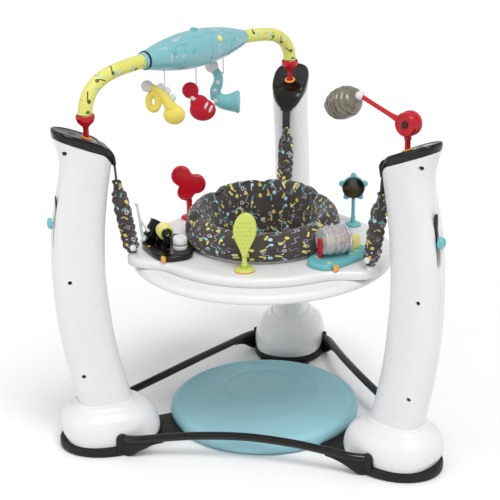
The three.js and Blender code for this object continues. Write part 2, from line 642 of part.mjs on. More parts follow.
// ---------------------------------------------------------------- rattle arm on the right tower
function rattleArm() {
  const group = radialGroup(330, SOCKET_RADIUS);
  const hub = 829;
  const bottom = SOCKET_FLOOR_Z + 2;
  const post = turned([[0, bottom], [6.5, bottom], [6.5, 788], [8.5, 794], [8.5, hub - 29], [0, hub - 29]], 16);
  const rearDisc = rod([0, 1, hub], [0, 17, hub], 28, 26, 24);
  const neck = block([-7, 1, hub - 34], [7, 8, hub - 20]);
  piece(group, 'arm_stalk', union(post, rearDisc, neck), RED);
  const frontDisc = rod([0, -GAP, hub], [0, -15, hub], 27, 25, 24);
  const bar = rod([-20, -8, hub + 8], [-122, -8, hub + 45], 5.5, 5.5, 12);
  const wrist = rod([-118, -8, hub + 49], [-132, -8, hub + 41.5], 9, 9, 14);
  piece(group, 'arm_rod', union(frontDisc, bar, wrist), RED);
  const ball = new THREE.Group();
  ball.position.set(-168, -8, hub + 22.5);
  ball.rotation.y = rad(-28);
  const half = [[0, -43], [20, -40], [36, -26], [45, -7], [45, 7], [36, 26], [20, 40]];
  const body = turned([...half, [13, 43], [13, 33], [0, 33]], 20).rotateY(Math.PI / 2);
  piece(ball, 'rattle_ball', body.scale(1, 1, 0.92), SMOKE);
  group.add(ball);
  return group;
}

// ---------------------------------------------------------------- assembly
const group = new THREE.Group();
piece(group, 'bounce_mat', bounceMat(), MAT_TEAL);
piece(group, 'tray_top', trayTop(), WHITE);
piece(group, 'tray_base', trayBase(), WHITE);
piece(group, 'seat_ring', seatRing(), DARK);
piece(group, 'seat_fabric', seatFabric(), FABRIC);

TOWERS.forEach(({ name, angle }) => {
  const tower = radialGroup(angle);
  piece(tower, `foot_base_${name}`, footBase(), BLACK);
  piece(tower, `foot_cover_${name}`, footCover(), WHITE);
  piece(tower, `tower_${name}_shell_a`, towerShell(1), WHITE);
  piece(tower, `tower_${name}_shell_b`, towerShell(-1), WHITE);
  piece(tower, `tower_cap_${name}`, towerCap(), BLACK);
  piece(tower, `height_slider_${name}`, heightSlider(), TEAL);
  piece(tower, `strap_${name}`, strap(), BLACK);
  piece(tower, `spring_${name}`, spring(), STEEL);
  piece(tower, `spring_sleeve_${name}`, springSleeve(), FABRIC);
  group.add(tower);
});

[['front', 270], ['right', 30], ['left', 150]].forEach(([name, angle]) => {
  const span = radialGroup(angle);
  piece(span, `base_tube_${name}`, baseTube(), BLACK);
  group.add(span);
});

group.add(drumStation(), spinnerStation(), mirrorFlower(), maraca(), redPaddle(), arch(), rattleArm());

export default group;
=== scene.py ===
"""Free-standing baby bouncer: the visual model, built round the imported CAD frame.

Lengths below are millimetres in the CAD's own frame, +Z up, and build() turns them into metres.
"""
import math
import random

import bmesh
import bpy
from mathutils import Matrix, Vector, noise


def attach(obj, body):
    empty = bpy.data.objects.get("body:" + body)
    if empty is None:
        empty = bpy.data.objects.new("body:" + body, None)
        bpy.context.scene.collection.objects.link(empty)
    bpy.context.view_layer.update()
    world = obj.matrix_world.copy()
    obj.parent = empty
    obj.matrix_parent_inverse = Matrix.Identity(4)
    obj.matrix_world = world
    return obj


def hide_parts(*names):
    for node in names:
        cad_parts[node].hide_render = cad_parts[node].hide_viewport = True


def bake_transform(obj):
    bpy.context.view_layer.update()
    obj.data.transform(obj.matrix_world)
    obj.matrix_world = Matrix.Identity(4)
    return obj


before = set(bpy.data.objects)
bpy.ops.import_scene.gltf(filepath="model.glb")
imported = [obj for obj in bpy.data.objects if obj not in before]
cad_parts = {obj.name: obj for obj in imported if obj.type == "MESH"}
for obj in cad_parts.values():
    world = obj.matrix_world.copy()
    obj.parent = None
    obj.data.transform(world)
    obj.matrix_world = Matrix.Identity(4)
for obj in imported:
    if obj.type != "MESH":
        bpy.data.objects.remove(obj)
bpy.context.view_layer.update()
MM = 0.001
TOWERS = {"rear": 90, "left": 210, "right": 330}

# ------------------------------------------------------------------ sizes that follow the CAD
# Height, inner radius, outer radius and half width of a tower.
TOWER_STATIONS = [
    (24, 322, 459, 50), (100, 341, 474, 48), (160, 357.5, 487, 46.5), (250, 377, 504, 46),
    (340, 388, 515, 46), (430, 394.5, 519, 45.5), (500, 393.5, 518, 45), (570, 388.5, 512, 44.5),
    (640, 379.5, 499, 44), (690, 370.5, 487, 44), (730, 366, 486, 45), (780, 366, 499, 46),
]
SOCKET_RADIUS = 420
PLATE_TOP, COVER_TOP, FOOT_LENGTH, FOOT_WIDTH = 25, 132, 120, 95
TRAY_PLATEAU, TRAY_LOBE, TRAY_Z = 275, 63, 472
ANCHOR_RADIUS, SLEEVE_TOP_RADIUS, SLEEVE_TOP, SLEEVE_BOTTOM = 326, 356, 660, 482
CHORD = SOCKET_RADIUS * math.sqrt(3)
ARCH_START = (-363.7, -210)
CONSOLE_START, CONSOLE_END, CONSOLE_Z, CONSOLE_RADIUS, CONSOLE_END_RADIUS = 184, 543, 914, 46, 17

# These sizes are the visual model's own.
TOWER_SQUARENESS = 2.6
SLOT_RADIUS, SLOT_HEIGHT = 499, 578
COVER_RIM = 117
TUBE_RADIUS = 9.8
FLOOR_RADIUS = 16000


# ------------------------------------------------------------------ small helpers
def rad(degrees):
    return math.radians(degrees)


def lerp(a, b, t):
    return a + (b - a) * t


def smooth_step(value, low, high):
    t = min(max((value - low) / (high - low), 0), 1)
    return t * t * (3 - 2 * t)


def through(points, steps):
    """Points on a smooth curve through the given ones, ends included."""
    knots = [Vector(p) for p in points]
    knots = [2 * knots[0] - knots[1], *knots, 2 * knots[-1] - knots[-2]]
    spans = len(knots) - 3
    curve = []
    for i in range(steps + 1):
        place = min(i / steps * spans, spans - 1e-9)
        k = int(place)
        t = place - k
        a, b, c, d = knots[k : k + 4]
        curve.append(0.5 * (2 * b + (c - a) * t + (2 * a - 5 * b + 4 * c - d) * t**2
                            + (3 * b - a - 3 * c + d) * t**3))
    return curve


def circle(count):
    """Evenly spaced angles, once round."""
    return [2 * math.pi * i / count for i in range(count)]


def rounded(angle, squareness):
    """Point of a rounded square of half size 1 in this direction."""
    x, y = math.cos(angle), math.sin(angle)
    power = 2 / squareness
    return math.copysign(abs(x) ** power, x), math.copysign(abs(y) ** power, y)


def squared_ring(centre, across, over, power, sides):
    """Ring of a rounded rectangle; across and over are its half sizes, as vectors."""
    ring = []
    for angle in circle(sides):
        x, y = rounded(angle, power)
        ring.append(centre + across * x + over * y)
    return ring


# ------------------------------------------------------------------ mesh building
def link(name, data):
    """A new object in the scene."""
    thing = bpy.data.objects.new(name, data)
    bpy.context.scene.collection.objects.link(thing)
    return thing


def build(name, points, faces, uvs=None, sharp=40):
    """A smooth-shaded object from points in millimetres; uvs holds one (u, v) for each point."""
    mesh = bpy.data.meshes.new(name)
    mesh.from_pydata([[c * MM for c in p] for p in points], [], faces)
    if uvs:
        layer = mesh.uv_layers.new(name="UVMap")
        for loop in mesh.loops:
            layer.data[loop.index].uv = uvs[loop.vertex_index]
    work = bmesh.new()
    work.from_mesh(mesh)
    bmesh.ops.recalc_face_normals(work, faces=work.faces)
    work.to_mesh(mesh)
    work.free()
    mesh.shade_smooth()
    mesh.set_sharp_from_angle(angle=rad(sharp))
    return link(name, mesh)


def cloth_places(rings, closed):
    """UVs in metres for a cloth skin. They run out and back, so no seam shows where it closes."""
    def lengths(spots, back):
        total = [0]
        for a, b in zip(spots, spots[1:] + (spots[:1] if back else [])):
            total.append(total[-1] + (Vector(b) - Vector(a)).length * MM)
        return total

    widest = max(rings, key=lambda ring: lengths(ring, True)[-1])
    around = lengths(widest, True)
    columns = [lengths([ring[j] for ring in rings], closed) for j in range(0, len(widest), 7)]
    along = [sum(row) / len(columns) for row in zip(*columns)]
    across = [abs(u - around[-1] / 2) for u in around[:-1]]
    if closed:
        along = [abs(v - along[-1] / 2) for v in along[:-1]]
    return [(u, v) for v in along for u in across]


def loft(name, rings, ends="caps", cloth=False, sharp=40):
    """Skin over closed rings of points. ends is caps or joined; cloth adds UVs in metres."""
    count = len(rings[0])
    points = [tuple(p) for ring in rings for p in ring]
    faces = []
    spans = len(rings) if ends == "joined" else len(rings) - 1
    for i in range(spans):
        this, after = i * count, (i + 1) % len(rings) * count
        for j in range(count):
            k = (j + 1) % count
            faces.append((this + j, this + k, after + k, after + j))
    if ends == "caps":
        faces.append(tuple(reversed(range(count))))
        faces.append(tuple((len(rings) - 1) * count + j for j in range(count)))
    uvs = cloth_places(rings, ends == "joined") if cloth else None
    return build(name, points, faces, uvs, sharp)


def lathe(name, outline, sides=48, ends="caps", shape=None, cloth=False, sharp=40):
    """A piece turned about Z from (radius, z) points; shape may move each point."""
    rings = []
    for radius, z in outline:
        ring = []
        for angle in circle(sides):
            point = (radius * math.cos(angle), radius * math.sin(angle), z)
            ring.append(shape(*point) if shape else point)
        rings.append(ring)
    return loft(name, rings, ends, cloth, sharp)


def sweep(name, path, radius, sides=20, cloth=False, up=(0, 0, 1), ends="caps"):
    """A tube along a path. radius is a number or a function of the share of the way along."""
    path = [Vector(p) for p in path]
    last = len(path) - 1
    across = None
    rings = []
    for i, centre in enumerate(path):
        if ends == "joined":
            ahead = (path[(i + 1) % len(path)] - path[i - 1]).normalized()
        else:
            ahead = (path[min(i + 1, last)] - path[max(i - 1, 0)]).normalized()
        if across is None:
            across = ahead.cross(Vector(up))
            if across.length < 1e-3:
                across = ahead.cross(Vector((1, 0, 0)))
        across = (across - ahead * across.dot(ahead)).normalized()
        over = across.cross(ahead)
        size = radius(i / last) if callable(radius) else radius
        ring = []
        for angle in circle(sides):
            ring.append(centre + size * (math.cos(angle) * across + math.sin(angle) * over))
        rings.append(ring)
    return loft(name, rings, ends, cloth)


def slab(name, outline, height, edge=2, steps=3):
    """A flat piece with rounded edges from a closed outline in XY, standing on z = 0."""
    rings = []
    centre = Vector((sum(p[0] for p in outline), sum(p[1] for p in outline))) / len(outline)
    turns = [rad(90 * i / steps) for i in range(steps + 1)]
    levels = [(edge * (1 - math.sin(t)), edge * (1 - math.cos(t))) for t in turns]
    levels += [(inset, height - z) for inset, z in reversed(levels)]
    for inset, z in levels:
        ring = []
        for x, y in outline:
            arm = Vector((x, y)) - centre
            moved = centre + arm * max(1 - inset / max(arm.length, 1e-6), 0)
            ring.append((moved.x, moved.y, z))
        rings.append(ring)
    return loft(name, rings)


def oval_outline(wide, long, power):
    """Outline of a rounded rectangle with these half sizes."""
    spots = [rounded(angle, power) for angle in circle(48)]
    return [(wide * x, long * y) for x, y in spots]


def move(piece, matrix):
    piece.data.transform(matrix)
    return piece


def shift(piece, x=0, y=0, z=0):
    return move(piece, Matrix.Translation(Vector((x, y, z)) * MM))


def turn(piece, degrees, axis="Z"):
    return move(piece, Matrix.Rotation(rad(degrees), 4, axis))


def standing(outline, thick, edge):
    """A slab stood up: its outline is (across, height) and it is centred on y = 0."""
    piece = turn(slab("upright", outline, thick, edge, 6), 90, "X")
    return shift(piece, 0, thick / 2)


def stand(piece, angle, radius=0, z=0):
    """Moves a piece modelled at the origin, X outward, to its place round the centre."""
    return turn(shift(piece, radius, 0, z), angle)


def ball(name, radius, centre=(0, 0, 0), scale=(1, 1, 1), sides=24):
    """A rounded blob, squashed by scale."""
    rows = sides // 2
    outline = [(radius * math.sin(math.pi * (i + 0.35) / (rows + 0.7)),
                -radius * math.cos(math.pi * (i + 0.35) / (rows + 0.7))) for i in range(rows + 1)]
    piece = lathe(name, outline, sides)
    move(piece, Matrix.Diagonal((*scale, 1)))
    return shift(piece, *centre)


def merge(name, pieces):
    """One object from several; they keep their materials."""
    work = bmesh.new()
    materials = []
    for piece in pieces:
        start = len(work.faces)
        work.from_mesh(piece.data)
        work.faces.ensure_lookup_table()
        for face in work.faces[start:]:
            own = piece.data.materials[face.material_index] if piece.data.materials else None
            if own not in materials:
                materials.append(own)
            face.material_index = materials.index(own)
    mesh = bpy.data.meshes.new(name)
    work.to_mesh(mesh)
    work.free()
    for material in materials:
        if material:
            mesh.materials.append(material)
    for piece in pieces:
        bpy.data.objects.remove(piece)
    return link(name, mesh)


def bake(piece):
    """Applies a piece's modifiers."""
    view = bpy.context.evaluated_depsgraph_get()
    mesh = bpy.data.meshes.new_from_object(piece.evaluated_get(view))
    piece.modifiers.clear()
    piece.data = mesh
    return piece


def fuse(name, pieces, voxel, passes):
    """One soft, closed skin over several overlapping pieces."""
    whole = merge(name, pieces)
    remesh = whole.modifiers.new("skin", "REMESH")
    remesh.mode = "VOXEL"
    remesh.voxel_size = voxel * MM
    relax = whole.modifiers.new("relax", "SMOOTH")
    relax.factor = 0.5
    relax.iterations = passes
    bake(whole)
    whole.data.shade_smooth()
    return whole


def carve(piece, tools):
    """Cuts the tools out of a piece."""
    for tool in tools:
        cut = piece.modifiers.new("cut", "BOOLEAN")
        cut.object = tool
        cut.solver = "EXACT"
    bake(piece)
    for tool in tools:
        bpy.data.objects.remove(tool)
    piece.data.set_sharp_from_angle(angle=rad(40))
    return piece


def inflate(piece, pinned, cap, pressure=4.0):
    """Puffs up a closed fabric piece with Cloth; pinned(point) holds points, cap limits the rest."""
    rest = [v.co.copy() for v in piece.data.vertices]
    group = piece.vertex_groups.new(name="pin")
    group.add([v.index for v in piece.data.vertices if pinned(v.co / MM)], 1.0, "ADD")
    cloth = piece.modifiers.new("cloth", "CLOTH")
    nature = {"quality": 5, "mass": 0.3, "tension_stiffness": 12, "compression_stiffness": 12,
              "bending_stiffness": 0.3, "vertex_group_mass": group.name, "use_pressure": True,
              "uniform_pressure_force": pressure}
    for setting, value in nature.items():
        setattr(cloth.settings, setting, value)
    cloth.settings.effector_weights.gravity = 0
    scene = bpy.context.scene
    for step in range(1, 21):
        scene.frame_set(step)
    view = bpy.context.evaluated_depsgraph_get()
    moved = [v.co.copy() for v in piece.evaluated_get(view).data.vertices]
    piece.modifiers.clear()
    for vertex, start, end in zip(piece.data.vertices, rest, moved):
        step = end - start
        vertex.co = start + step * min(1, cap * MM / max(step.length, 1e-9))
    scene.frame_set(1)
    return piece


def give(piece, body, material, slot, *nodes):
    """Finishes a piece: its material, the body it rides on and the CAD nodes it stands for."""
    if material:
        piece.data.materials.clear()
        piece.data.materials.append(material)
    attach(piece, body)
    if nodes:
        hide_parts(*nodes)
    return piece


# ------------------------------------------------------------------ materials
class Look:
    """A material with short calls for its shader nodes."""

    def __init__(self, name, roughness=0.4, **sockets):
        self.material = bpy.data.materials.new(name)
        self.material.use_nodes = True
        self.tree = self.material.node_tree
        self.surface = self.tree.nodes["Principled BSDF"]
        self.surface.inputs["Roughness"].default_value = roughness
        for socket, value in sockets.items():
            self.surface.inputs[socket.replace("_", " ")].default_value = value
        self.place = self.add("TexCoord").outputs

    def add(self, kind, values=None, **settings):
        node = self.tree.nodes.new("ShaderNode" + kind)
        for name, value in settings.items():
            setattr(node, name, value)
        for key, value in (values or {}).items():
            if isinstance(value, bpy.types.NodeSocket):
                self.tree.links.new(value, node.inputs[key])
            else:
                node.inputs[key].default_value = value
        return node

    def math(self, operation, a, b=0.0):
        return self.add("Math", {0: a, 1: b}, operation=operation).outputs[0]

    def under(self, value, limit):
        """1 where the value's distance from zero is under the limit, else 0."""
        return self.math("LESS_THAN", self.math("ABSOLUTE", value), limit)

    def noise(self, scale, detail=2.0, where=None, roughness=0.5):
        values = {"Vector": where or self.place["Object"], "Scale": scale, "Detail": detail,
                  "Roughness": roughness}
        return self.add("TexNoise", values).outputs["Fac"]

    def mix(self, share, a, b):
        node = self.add("Mix", data_type="RGBA")
        for socket, value in ((node.inputs[0], share), (node.inputs[6], a), (node.inputs[7], b)):
            if isinstance(value, bpy.types.NodeSocket):
                self.tree.links.new(value, socket)
            else:
                socket.default_value = (*value, 1) if isinstance(value, tuple) else value
        return node.outputs[2]

    def spread(self, value, low, high, start, end):
        """Maps the value from start..end to low..high."""
        values = {"Value": value, "From Min": start, "From Max": end, "To Min": low, "To Max": high}
        return self.add("MapRange", values).outputs[0]

    def paint(self, color):
        self.tree.links.new(color, self.surface.inputs["Base Color"])

    def rough(self, value):
        self.tree.links.new(value, self.surface.inputs["Roughness"])

    def bump(self, height, strength, distance):
        node = self.add("Bump", {"Height": height, "Strength": strength, "Distance": distance})
        self.tree.links.new(node.outputs[0], self.surface.inputs["Normal"])


def shade(color, factor):
    return tuple(min(c * factor, 1) for c in color)


def plastic(name, color, roughness=0.35, grain=0.12, **sockets):
    """Moulded plastic: slight cloudiness, uneven gloss and a fine moulded grain."""
    look = Look(name, roughness, **sockets)
    cloud = look.noise(7.0, 3.0)
    look.paint(look.mix(cloud, shade(color, 0.94), shade(color, 1.03)))
    scuff = look.noise(55.0, 5.0, roughness=0.65)
    look.rough(look.spread(scuff, roughness * 0.8, min(roughness * 1.3, 1), 0.3, 0.75))
    look.bump(look.noise(900.0, 1.0), grain, 0.0002)
    return look.material


def mark_shape(look, spun, far, kind, size, thin):
    """1 inside one printed mark, drawn round the middle of its cell."""
    x, y, _ = look.add("SeparateXYZ", {0: spun}).outputs
    if kind == "dot":
        return look.under(far, size)
    if kind == "ring":
        return look.under(look.math("SUBTRACT", far, size), thin)
    if kind == "bar":
        return look.math("MULTIPLY", look.under(x, size), look.under(y, thin))
    if kind == "note":
        head = look.add("VectorMath", {0: spun, 1: (size, 0, 0)}, operation="DISTANCE").outputs["Value"]
        stem = look.under(look.math("SUBTRACT", y, thin * 2), thin)
        stem = look.math("MULTIPLY", stem, look.under(x, size))
        return look.math("MAXIMUM", look.under(head, thin * 3), stem)
    wave = look.math("MULTIPLY", look.math("SINE", look.math("MULTIPLY", x, 4.5 / size)), size * 0.28)
    squiggle = look.under(look.math("SUBTRACT", y, wave), thin)
    return look.math("MULTIPLY", squiggle, look.under(x, size))


def mark(look, where, cell, shift_by, shape, keep):
    """Print marks scattered on cloth, one to a cell of this size in metres.

    shape is (kind, size, thickness) in metres; the kinds are dot, ring, bar, note and squiggle.
    keep is the share of the cells that hold one.
    """
    moved = look.add("VectorMath", {0: where, 1: shift_by}, operation="ADD").outputs[0]
    cells = look.add("TexVoronoi", {"Vector": moved, "Scale": 1 / cell, "Randomness": 0.6},
                     voronoi_dimensions="2D")
    local = look.add("VectorMath", {0: moved, 1: cells.outputs["Position"]}, operation="SUBTRACT")
    luck = look.add("SeparateColor", {0: cells.outputs["Color"]}).outputs
    angle = look.math("MULTIPLY", luck[0], 6.28)
    spun = look.add("VectorRotate", {"Vector": local.outputs[0], "Angle": angle},
                    rotation_type="Z_AXIS").outputs[0]
    far = look.add("VectorMath", {0: local.outputs[0]}, operation="LENGTH").outputs["Value"]
    inside = mark_shape(look, spun, far, *shape)
    return look.math("MULTIPLY", inside, look.math("LESS_THAN", luck[1], keep)), luck[2]


def printed(look, ground, where, layers):
    """Lays scattered marks over a ground colour; each layer is (cell, shift, shape, keep, colours)."""
    color = ground
    for cell, shift_by, shape, keep, (first, second) in layers:
        inside, luck = mark(look, where, cell, shift_by, shape, keep)
        ink = look.mix(look.math("LESS_THAN", luck, 0.5), first, second)
        color = look.mix(inside, color, ink)
    return color


def weave(look, where, threads):
    """Height of a plain weave with this many threads to the metre."""
    bands = [look.add("TexWave", {"Vector": where, "Scale": threads / 6.2832, "Distortion": 0.4,
                                  "Detail": 1.0}, bands_direction=axis).outputs["Fac"]
             for axis in ("X", "Y")]
    return look.math("ADD", *bands)


TEAL, BLUE, YELLOW, CREAM = (0.11, 0.36, 0.40), (0.42, 0.66, 0.72), (0.72, 0.66, 0.16), (0.62, 0.58, 0.62)


def confetti_fabric():
    """Dark warm-grey woven fabric with a scattered print of bars, dots, notes and thin squiggles."""
    look = Look("printed_fabric", 0.88, Sheen_Weight=0.25, Sheen_Roughness=0.5, Specular_IOR_Level=0.25)
    where = look.place["UV"]
    ground = look.mix(look.noise(40.0, 4.0), (0.040, 0.033, 0.030), (0.082, 0.069, 0.063))
    layers = [
        (0.034, (0.3, 0.1, 0), ("squiggle", 0.013, 0.0008), 0.75, (CREAM, (0.30, 0.27, 0.30))),
        (0.041, (0.7, 0.5, 0), ("ring", 0.0042, 0.0011), 0.45, (CREAM, (0.35, 0.30, 0.36))),
        (0.031, (0.0, 0.0, 0), ("bar", 0.0075, 0.0024), 0.62, (TEAL, YELLOW)),
        (0.037, (0.2, 0.9, 0), ("dot", 0.0052, 0), 0.55, (BLUE, (0.68, 0.60, 0.13))),
        (0.045, (0.9, 0.4, 0), ("note", 0.0070, 0.0014), 0.7, (YELLOW, BLUE)),
        (0.039, (0.5, 0.7, 0), ("dot", 0.0022, 0), 0.8, (CREAM, (0.55, 0.75, 0.80))),
    ]
    look.paint(printed(look, ground, where, layers))
    threads = weave(look, where, 1100)
    look.bump(look.math("ADD", threads, look.noise(160.0, 4.0)), 0.35, 0.0006)
    return look.material


def arch_print():
    """Pale yellow smooth cover with thin notes, bars and pale blue squiggles."""
    look = Look("arch_yellow", 0.45, Specular_IOR_Level=0.4)
    ground = look.mix(look.noise(30.0, 3.0), (0.66, 0.64, 0.13), (0.77, 0.75, 0.21))
    olive, pale = (0.10, 0.09, 0.02), (0.36, 0.60, 0.56)
    layers = [
        (0.050, (0.1, 0.3, 0), ("squiggle", 0.020, 0.0022), 0.75, (pale, (0.45, 0.66, 0.50))),
        (0.032, (0.4, 0.0, 0), ("bar", 0.0090, 0.0007), 0.55, (olive, (0.30, 0.30, 0.08))),
        (0.046, (0.8, 0.6, 0), ("note", 0.0110, 0.0016), 0.75, (olive, olive)),
        (0.052, (0.2, 0.8, 0), ("bar", 0.0060, 0.0032), 0.35, ((0.75, 0.25, 0.08), pale)),
    ]
    look.paint(printed(look, ground, look.place["UV"], layers))
    look.bump(look.noise(260.0, 2.0), 0.12, 0.0004)
    return look.material


def console_print():
    """Satin teal plastic with a pale lilac print of notes."""
    look = Look("console_teal", 0.26, Coat_Weight=0.3)
    ground = look.mix(look.noise(8.0, 2.0), (0.19, 0.46, 0.495), (0.22, 0.50, 0.535))
    lilac = (0.46, 0.52, 0.64)
    layers = [
        (0.060, (0.1, 0.2, 0), ("note", 0.0130, 0.0022), 0.8, (lilac, (0.30, 0.52, 0.60))),
        (0.052, (0.6, 0.7, 0), ("dot", 0.0060, 0), 0.5, (lilac, (0.36, 0.50, 0.60))),
        (0.070, (0.3, 0.9, 0), ("squiggle", 0.016, 0.0020), 0.6, (lilac, lilac)),
    ]
    look.paint(printed(look, ground, look.place["UV"], layers))
    look.bump(look.noise(700.0, 1.0), 0.06, 0.0002)
    return look.material


def velour(name, color):
    """Short-pile plush."""
    look = Look(name, 0.85, Sheen_Weight=0.35, Sheen_Roughness=0.4, Specular_IOR_Level=0.2)
    pile = look.noise(1500.0, 3.0, roughness=0.7)
    look.paint(look.mix(pile, shade(color, 0.86), shade(color, 1.08)))
    look.bump(pile, 0.5, 0.0006)
    return look.material


def webbing():
    look = Look("black_webbing", 0.75, Sheen_Weight=0.2)
    ribs = look.add("TexWave", {"Vector": look.place["Object"], "Scale": 130.0}, bands_direction="Z")
    look.paint(look.mix(ribs.outputs["Fac"], (0.010, 0.010, 0.010), (0.035, 0.035, 0.036)))
    look.bump(ribs.outputs["Fac"], 0.5, 0.0006)
    return look.material


def smoke():
    """Brownish translucent plastic of the rattle."""
    look = Look("smoke_plastic", 0.16, IOR=1.45, Transmission_Weight=0.45, Coat_Weight=0.4)
    look.paint(look.mix(look.noise(45.0, 4.0), (0.10, 0.09, 0.06), (0.40, 0.37, 0.29)))
    look.bump(look.noise(120.0, 3.0), 0.25, 0.001)
    return look.material


def clear():
    """Clear, faintly lilac plastic of the spinning drum."""
    look = Look("clear_plastic", 0.12, IOR=1.4, Transmission_Weight=0.75)
    look.paint(look.mix(look.noise(60.0, 2.0), (0.88, 0.88, 0.94), (0.99, 0.99, 1.0)))
    look.bump(look.noise(60.0, 2.0), 0.15, 0.001)
    return look.material


def mirror_film():
    look = Look("mirror_film", 0.08, Metallic=1.0)
    look.paint(look.mix(look.noise(12.0, 2.0), (0.03, 0.03, 0.03), (0.16, 0.15, 0.15)))
    look.bump(look.noise(20.0, 2.0), 0.25, 0.002)
    return look.material


def steel():
    look = Look("spring_steel", 0.3, Metallic=1.0)
    look.paint(look.mix(look.noise(80.0, 3.0), (0.45, 0.45, 0.47), (0.62, 0.62, 0.64)))
    return look.material


def foot_black():
    look = Look("foot_black", 0.45, Specular_IOR_Level=0.25)
    look.paint(look.mix(look.noise(10.0, 3.0), (0.009, 0.008, 0.007), (0.017, 0.015, 0.013)))
    look.rough(look.spread(look.noise(60.0, 4.0), 0.38, 0.6, 0.3, 0.7))
    look.bump(look.noise(600.0, 2.0), 0.35, 0.0004)
    return look.material


WHITE = plastic("white_plastic", (0.76, 0.76, 0.765), 0.3, Coat_Weight=0.15)
BLACK = plastic("black_plastic", (0.004, 0.004, 0.004), 0.18, 0.03, Specular_IOR_Level=0.4)
FOOT_BLACK = foot_black()
TUBE_BLACK = plastic("black_paint", (0.004, 0.0036, 0.003), 0.2, 0.05, Specular_IOR_Level=0.45)
DARK = plastic("dark_plastic", (0.022, 0.020, 0.019), 0.5, 0.3, Specular_IOR_Level=0.3)
TEAL_PLASTIC = plastic("teal_plastic", (0.13, 0.46, 0.50), 0.32)
MAT_TEAL = plastic("mat_teal", (0.29, 0.56, 0.63), 0.4, 0.2)
RED = plastic("red_plastic", (0.52, 0.006, 0.018), 0.2, 0.05, Specular_IOR_Level=0.35)
LIME = plastic("lime_plastic", (0.56, 0.64, 0.12), 0.38, 0.4)
ORANGE = plastic("orange_plastic", (0.80, 0.36, 0.05), 0.35)
PALE_YELLOW = plastic("pale_yellow_plastic", (0.80, 0.74, 0.22), 0.35)
PRINTED = confetti_fabric()
ARCH_YELLOW = arch_print()
CONSOLE_TEAL = console_print()
WEBBING = webbing()
SMOKE = smoke()
CLEAR = clear()
MIRROR = mirror_film()
STEEL = steel()
PLUSH_YELLOW = velour("plush_yellow", (0.84, 0.70, 0.14))
PLUSH_RED = velour("plush_red", (0.52, 0.012, 0.028))
PLUSH_TEAL = velour("plush_teal", (0.21, 0.51, 0.54))
PLUSH_WHITE = velour("plush_white", (0.70, 0.68, 0.66))


# ------------------------------------------------------------------ camera, floor and light
# Metres, the lens in millimetres and the roll in degrees.
CAMERA_PLACE, CAMERA_AIM = Vector((0.57828, -3.03918, 1.58413)), Vector((0, 0, 0.4417))
CAMERA_LENS, CAMERA_SHIFT, CAMERA_ROLL = 96.88, -0.0251, -0.75


def add_camera():
    """Looks down at the tray from the front, a little to the right, with a long lens."""
    data = bpy.data.cameras.new("camera")
    data.lens = CAMERA_LENS
    data.shift_x = CAMERA_SHIFT
    camera = link("camera", data)
    aim = (CAMERA_AIM - CAMERA_PLACE).to_track_quat("-Z", "Y").to_matrix().to_4x4()
    roll = Matrix.Rotation(rad(CAMERA_ROLL), 4, "Z")
    camera.matrix_world = Matrix.Translation(CAMERA_PLACE) @ aim @ roll
    bpy.context.scene.camera = camera


def add_sun(name, place, strength, softness):
    """A soft light from the direction of this place; softness is its width in degrees."""
    data = bpy.data.lights.new(name, "SUN")
    data.energy = strength
    data.angle = rad(softness)
    lamp = link(name, data)
    lamp.rotation_euler = (-Vector(place)).to_track_quat("-Z", "Y").to_euler()


def add_studio():
    world = bpy.data.worlds.new("studio")
    world.use_nodes = True
    backdrop = world.node_tree.nodes["Background"]
    backdrop.inputs["Color"].default_value = (1, 1, 1, 1)
    backdrop.inputs["Strength"].default_value = 0.62
    bpy.context.scene.world = world
    bpy.context.scene.view_settings.view_transform = "Standard"
    floor = lathe("floor", [(1, -1), (FLOOR_RADIUS, -1), (FLOOR_RADIUS, -0.1), (1, -0.1)], 64)
    look = Look("pale_floor", 0.9)
    look.paint(look.mix(look.noise(2.0), (0.90, 0.90, 0.90), (0.93, 0.93, 0.93)))
    floor.data.materials.append(look.material)
    add_sun("key", (0.8, -1.2, 2.6), 1.7, 30)
    add_sun("fill", (-2.0, -1.6, 1.2), 0.45, 50)


# ------------------------------------------------------------------ towers and their caps
def tower_top(radius):
    """Height of a tower's sloped top, which dips towards the middle."""
    dip = 28 * ((396 - radius) / 30) ** 2 if radius < 396 else 0
    return 735 + 0.41 * (radius - 385) - dip


TOWER_CURVE = through(TOWER_STATIONS, 220)


def tower_section(z):
    """Centre, depth and half width of a tower at this height."""
    for low, high in zip(TOWER_CURVE, TOWER_CURVE[1:]):
        if z <= high[0]:
            break
    place = low.lerp(high, min(max((z - low[0]) / (high[0] - low[0]), 0), 1))
    return (place[1] + place[2]) / 2, (place[2] - place[1]) / 2, place[3]


def tower_point(angle, share):
    """Point on a tower's skin; share runs from the foot to the sloped top."""
    z = 400
    for _ in range(5):
        centre, depth, half = tower_section(z)
        x, y = rounded(angle, TOWER_SQUARENESS)
        z = lerp(24, tower_top(centre + depth * x) - 2, share)
    scoop = 5 * (1 - smooth_step(abs(half * y), 8, 19)) * (x > 0)
    scoop *= smooth_step(z, 488, 520) * (1 - smooth_step(z, 640, 672))
    return Vector((centre + depth * x - scoop, half * y, z))


# Radius and height of the screws in each flank of a tower.
SCREW_PLACES = [(478, 747), (487, 440), (468, 197)]


def flank(radius, z):
    """Half width of a tower at this radius."""
    centre, depth, half = tower_section(z)
    across = min(abs(radius - centre) / depth, 1)
    return half * (1 - across**TOWER_SQUARENESS) ** (1 / TOWER_SQUARENESS)


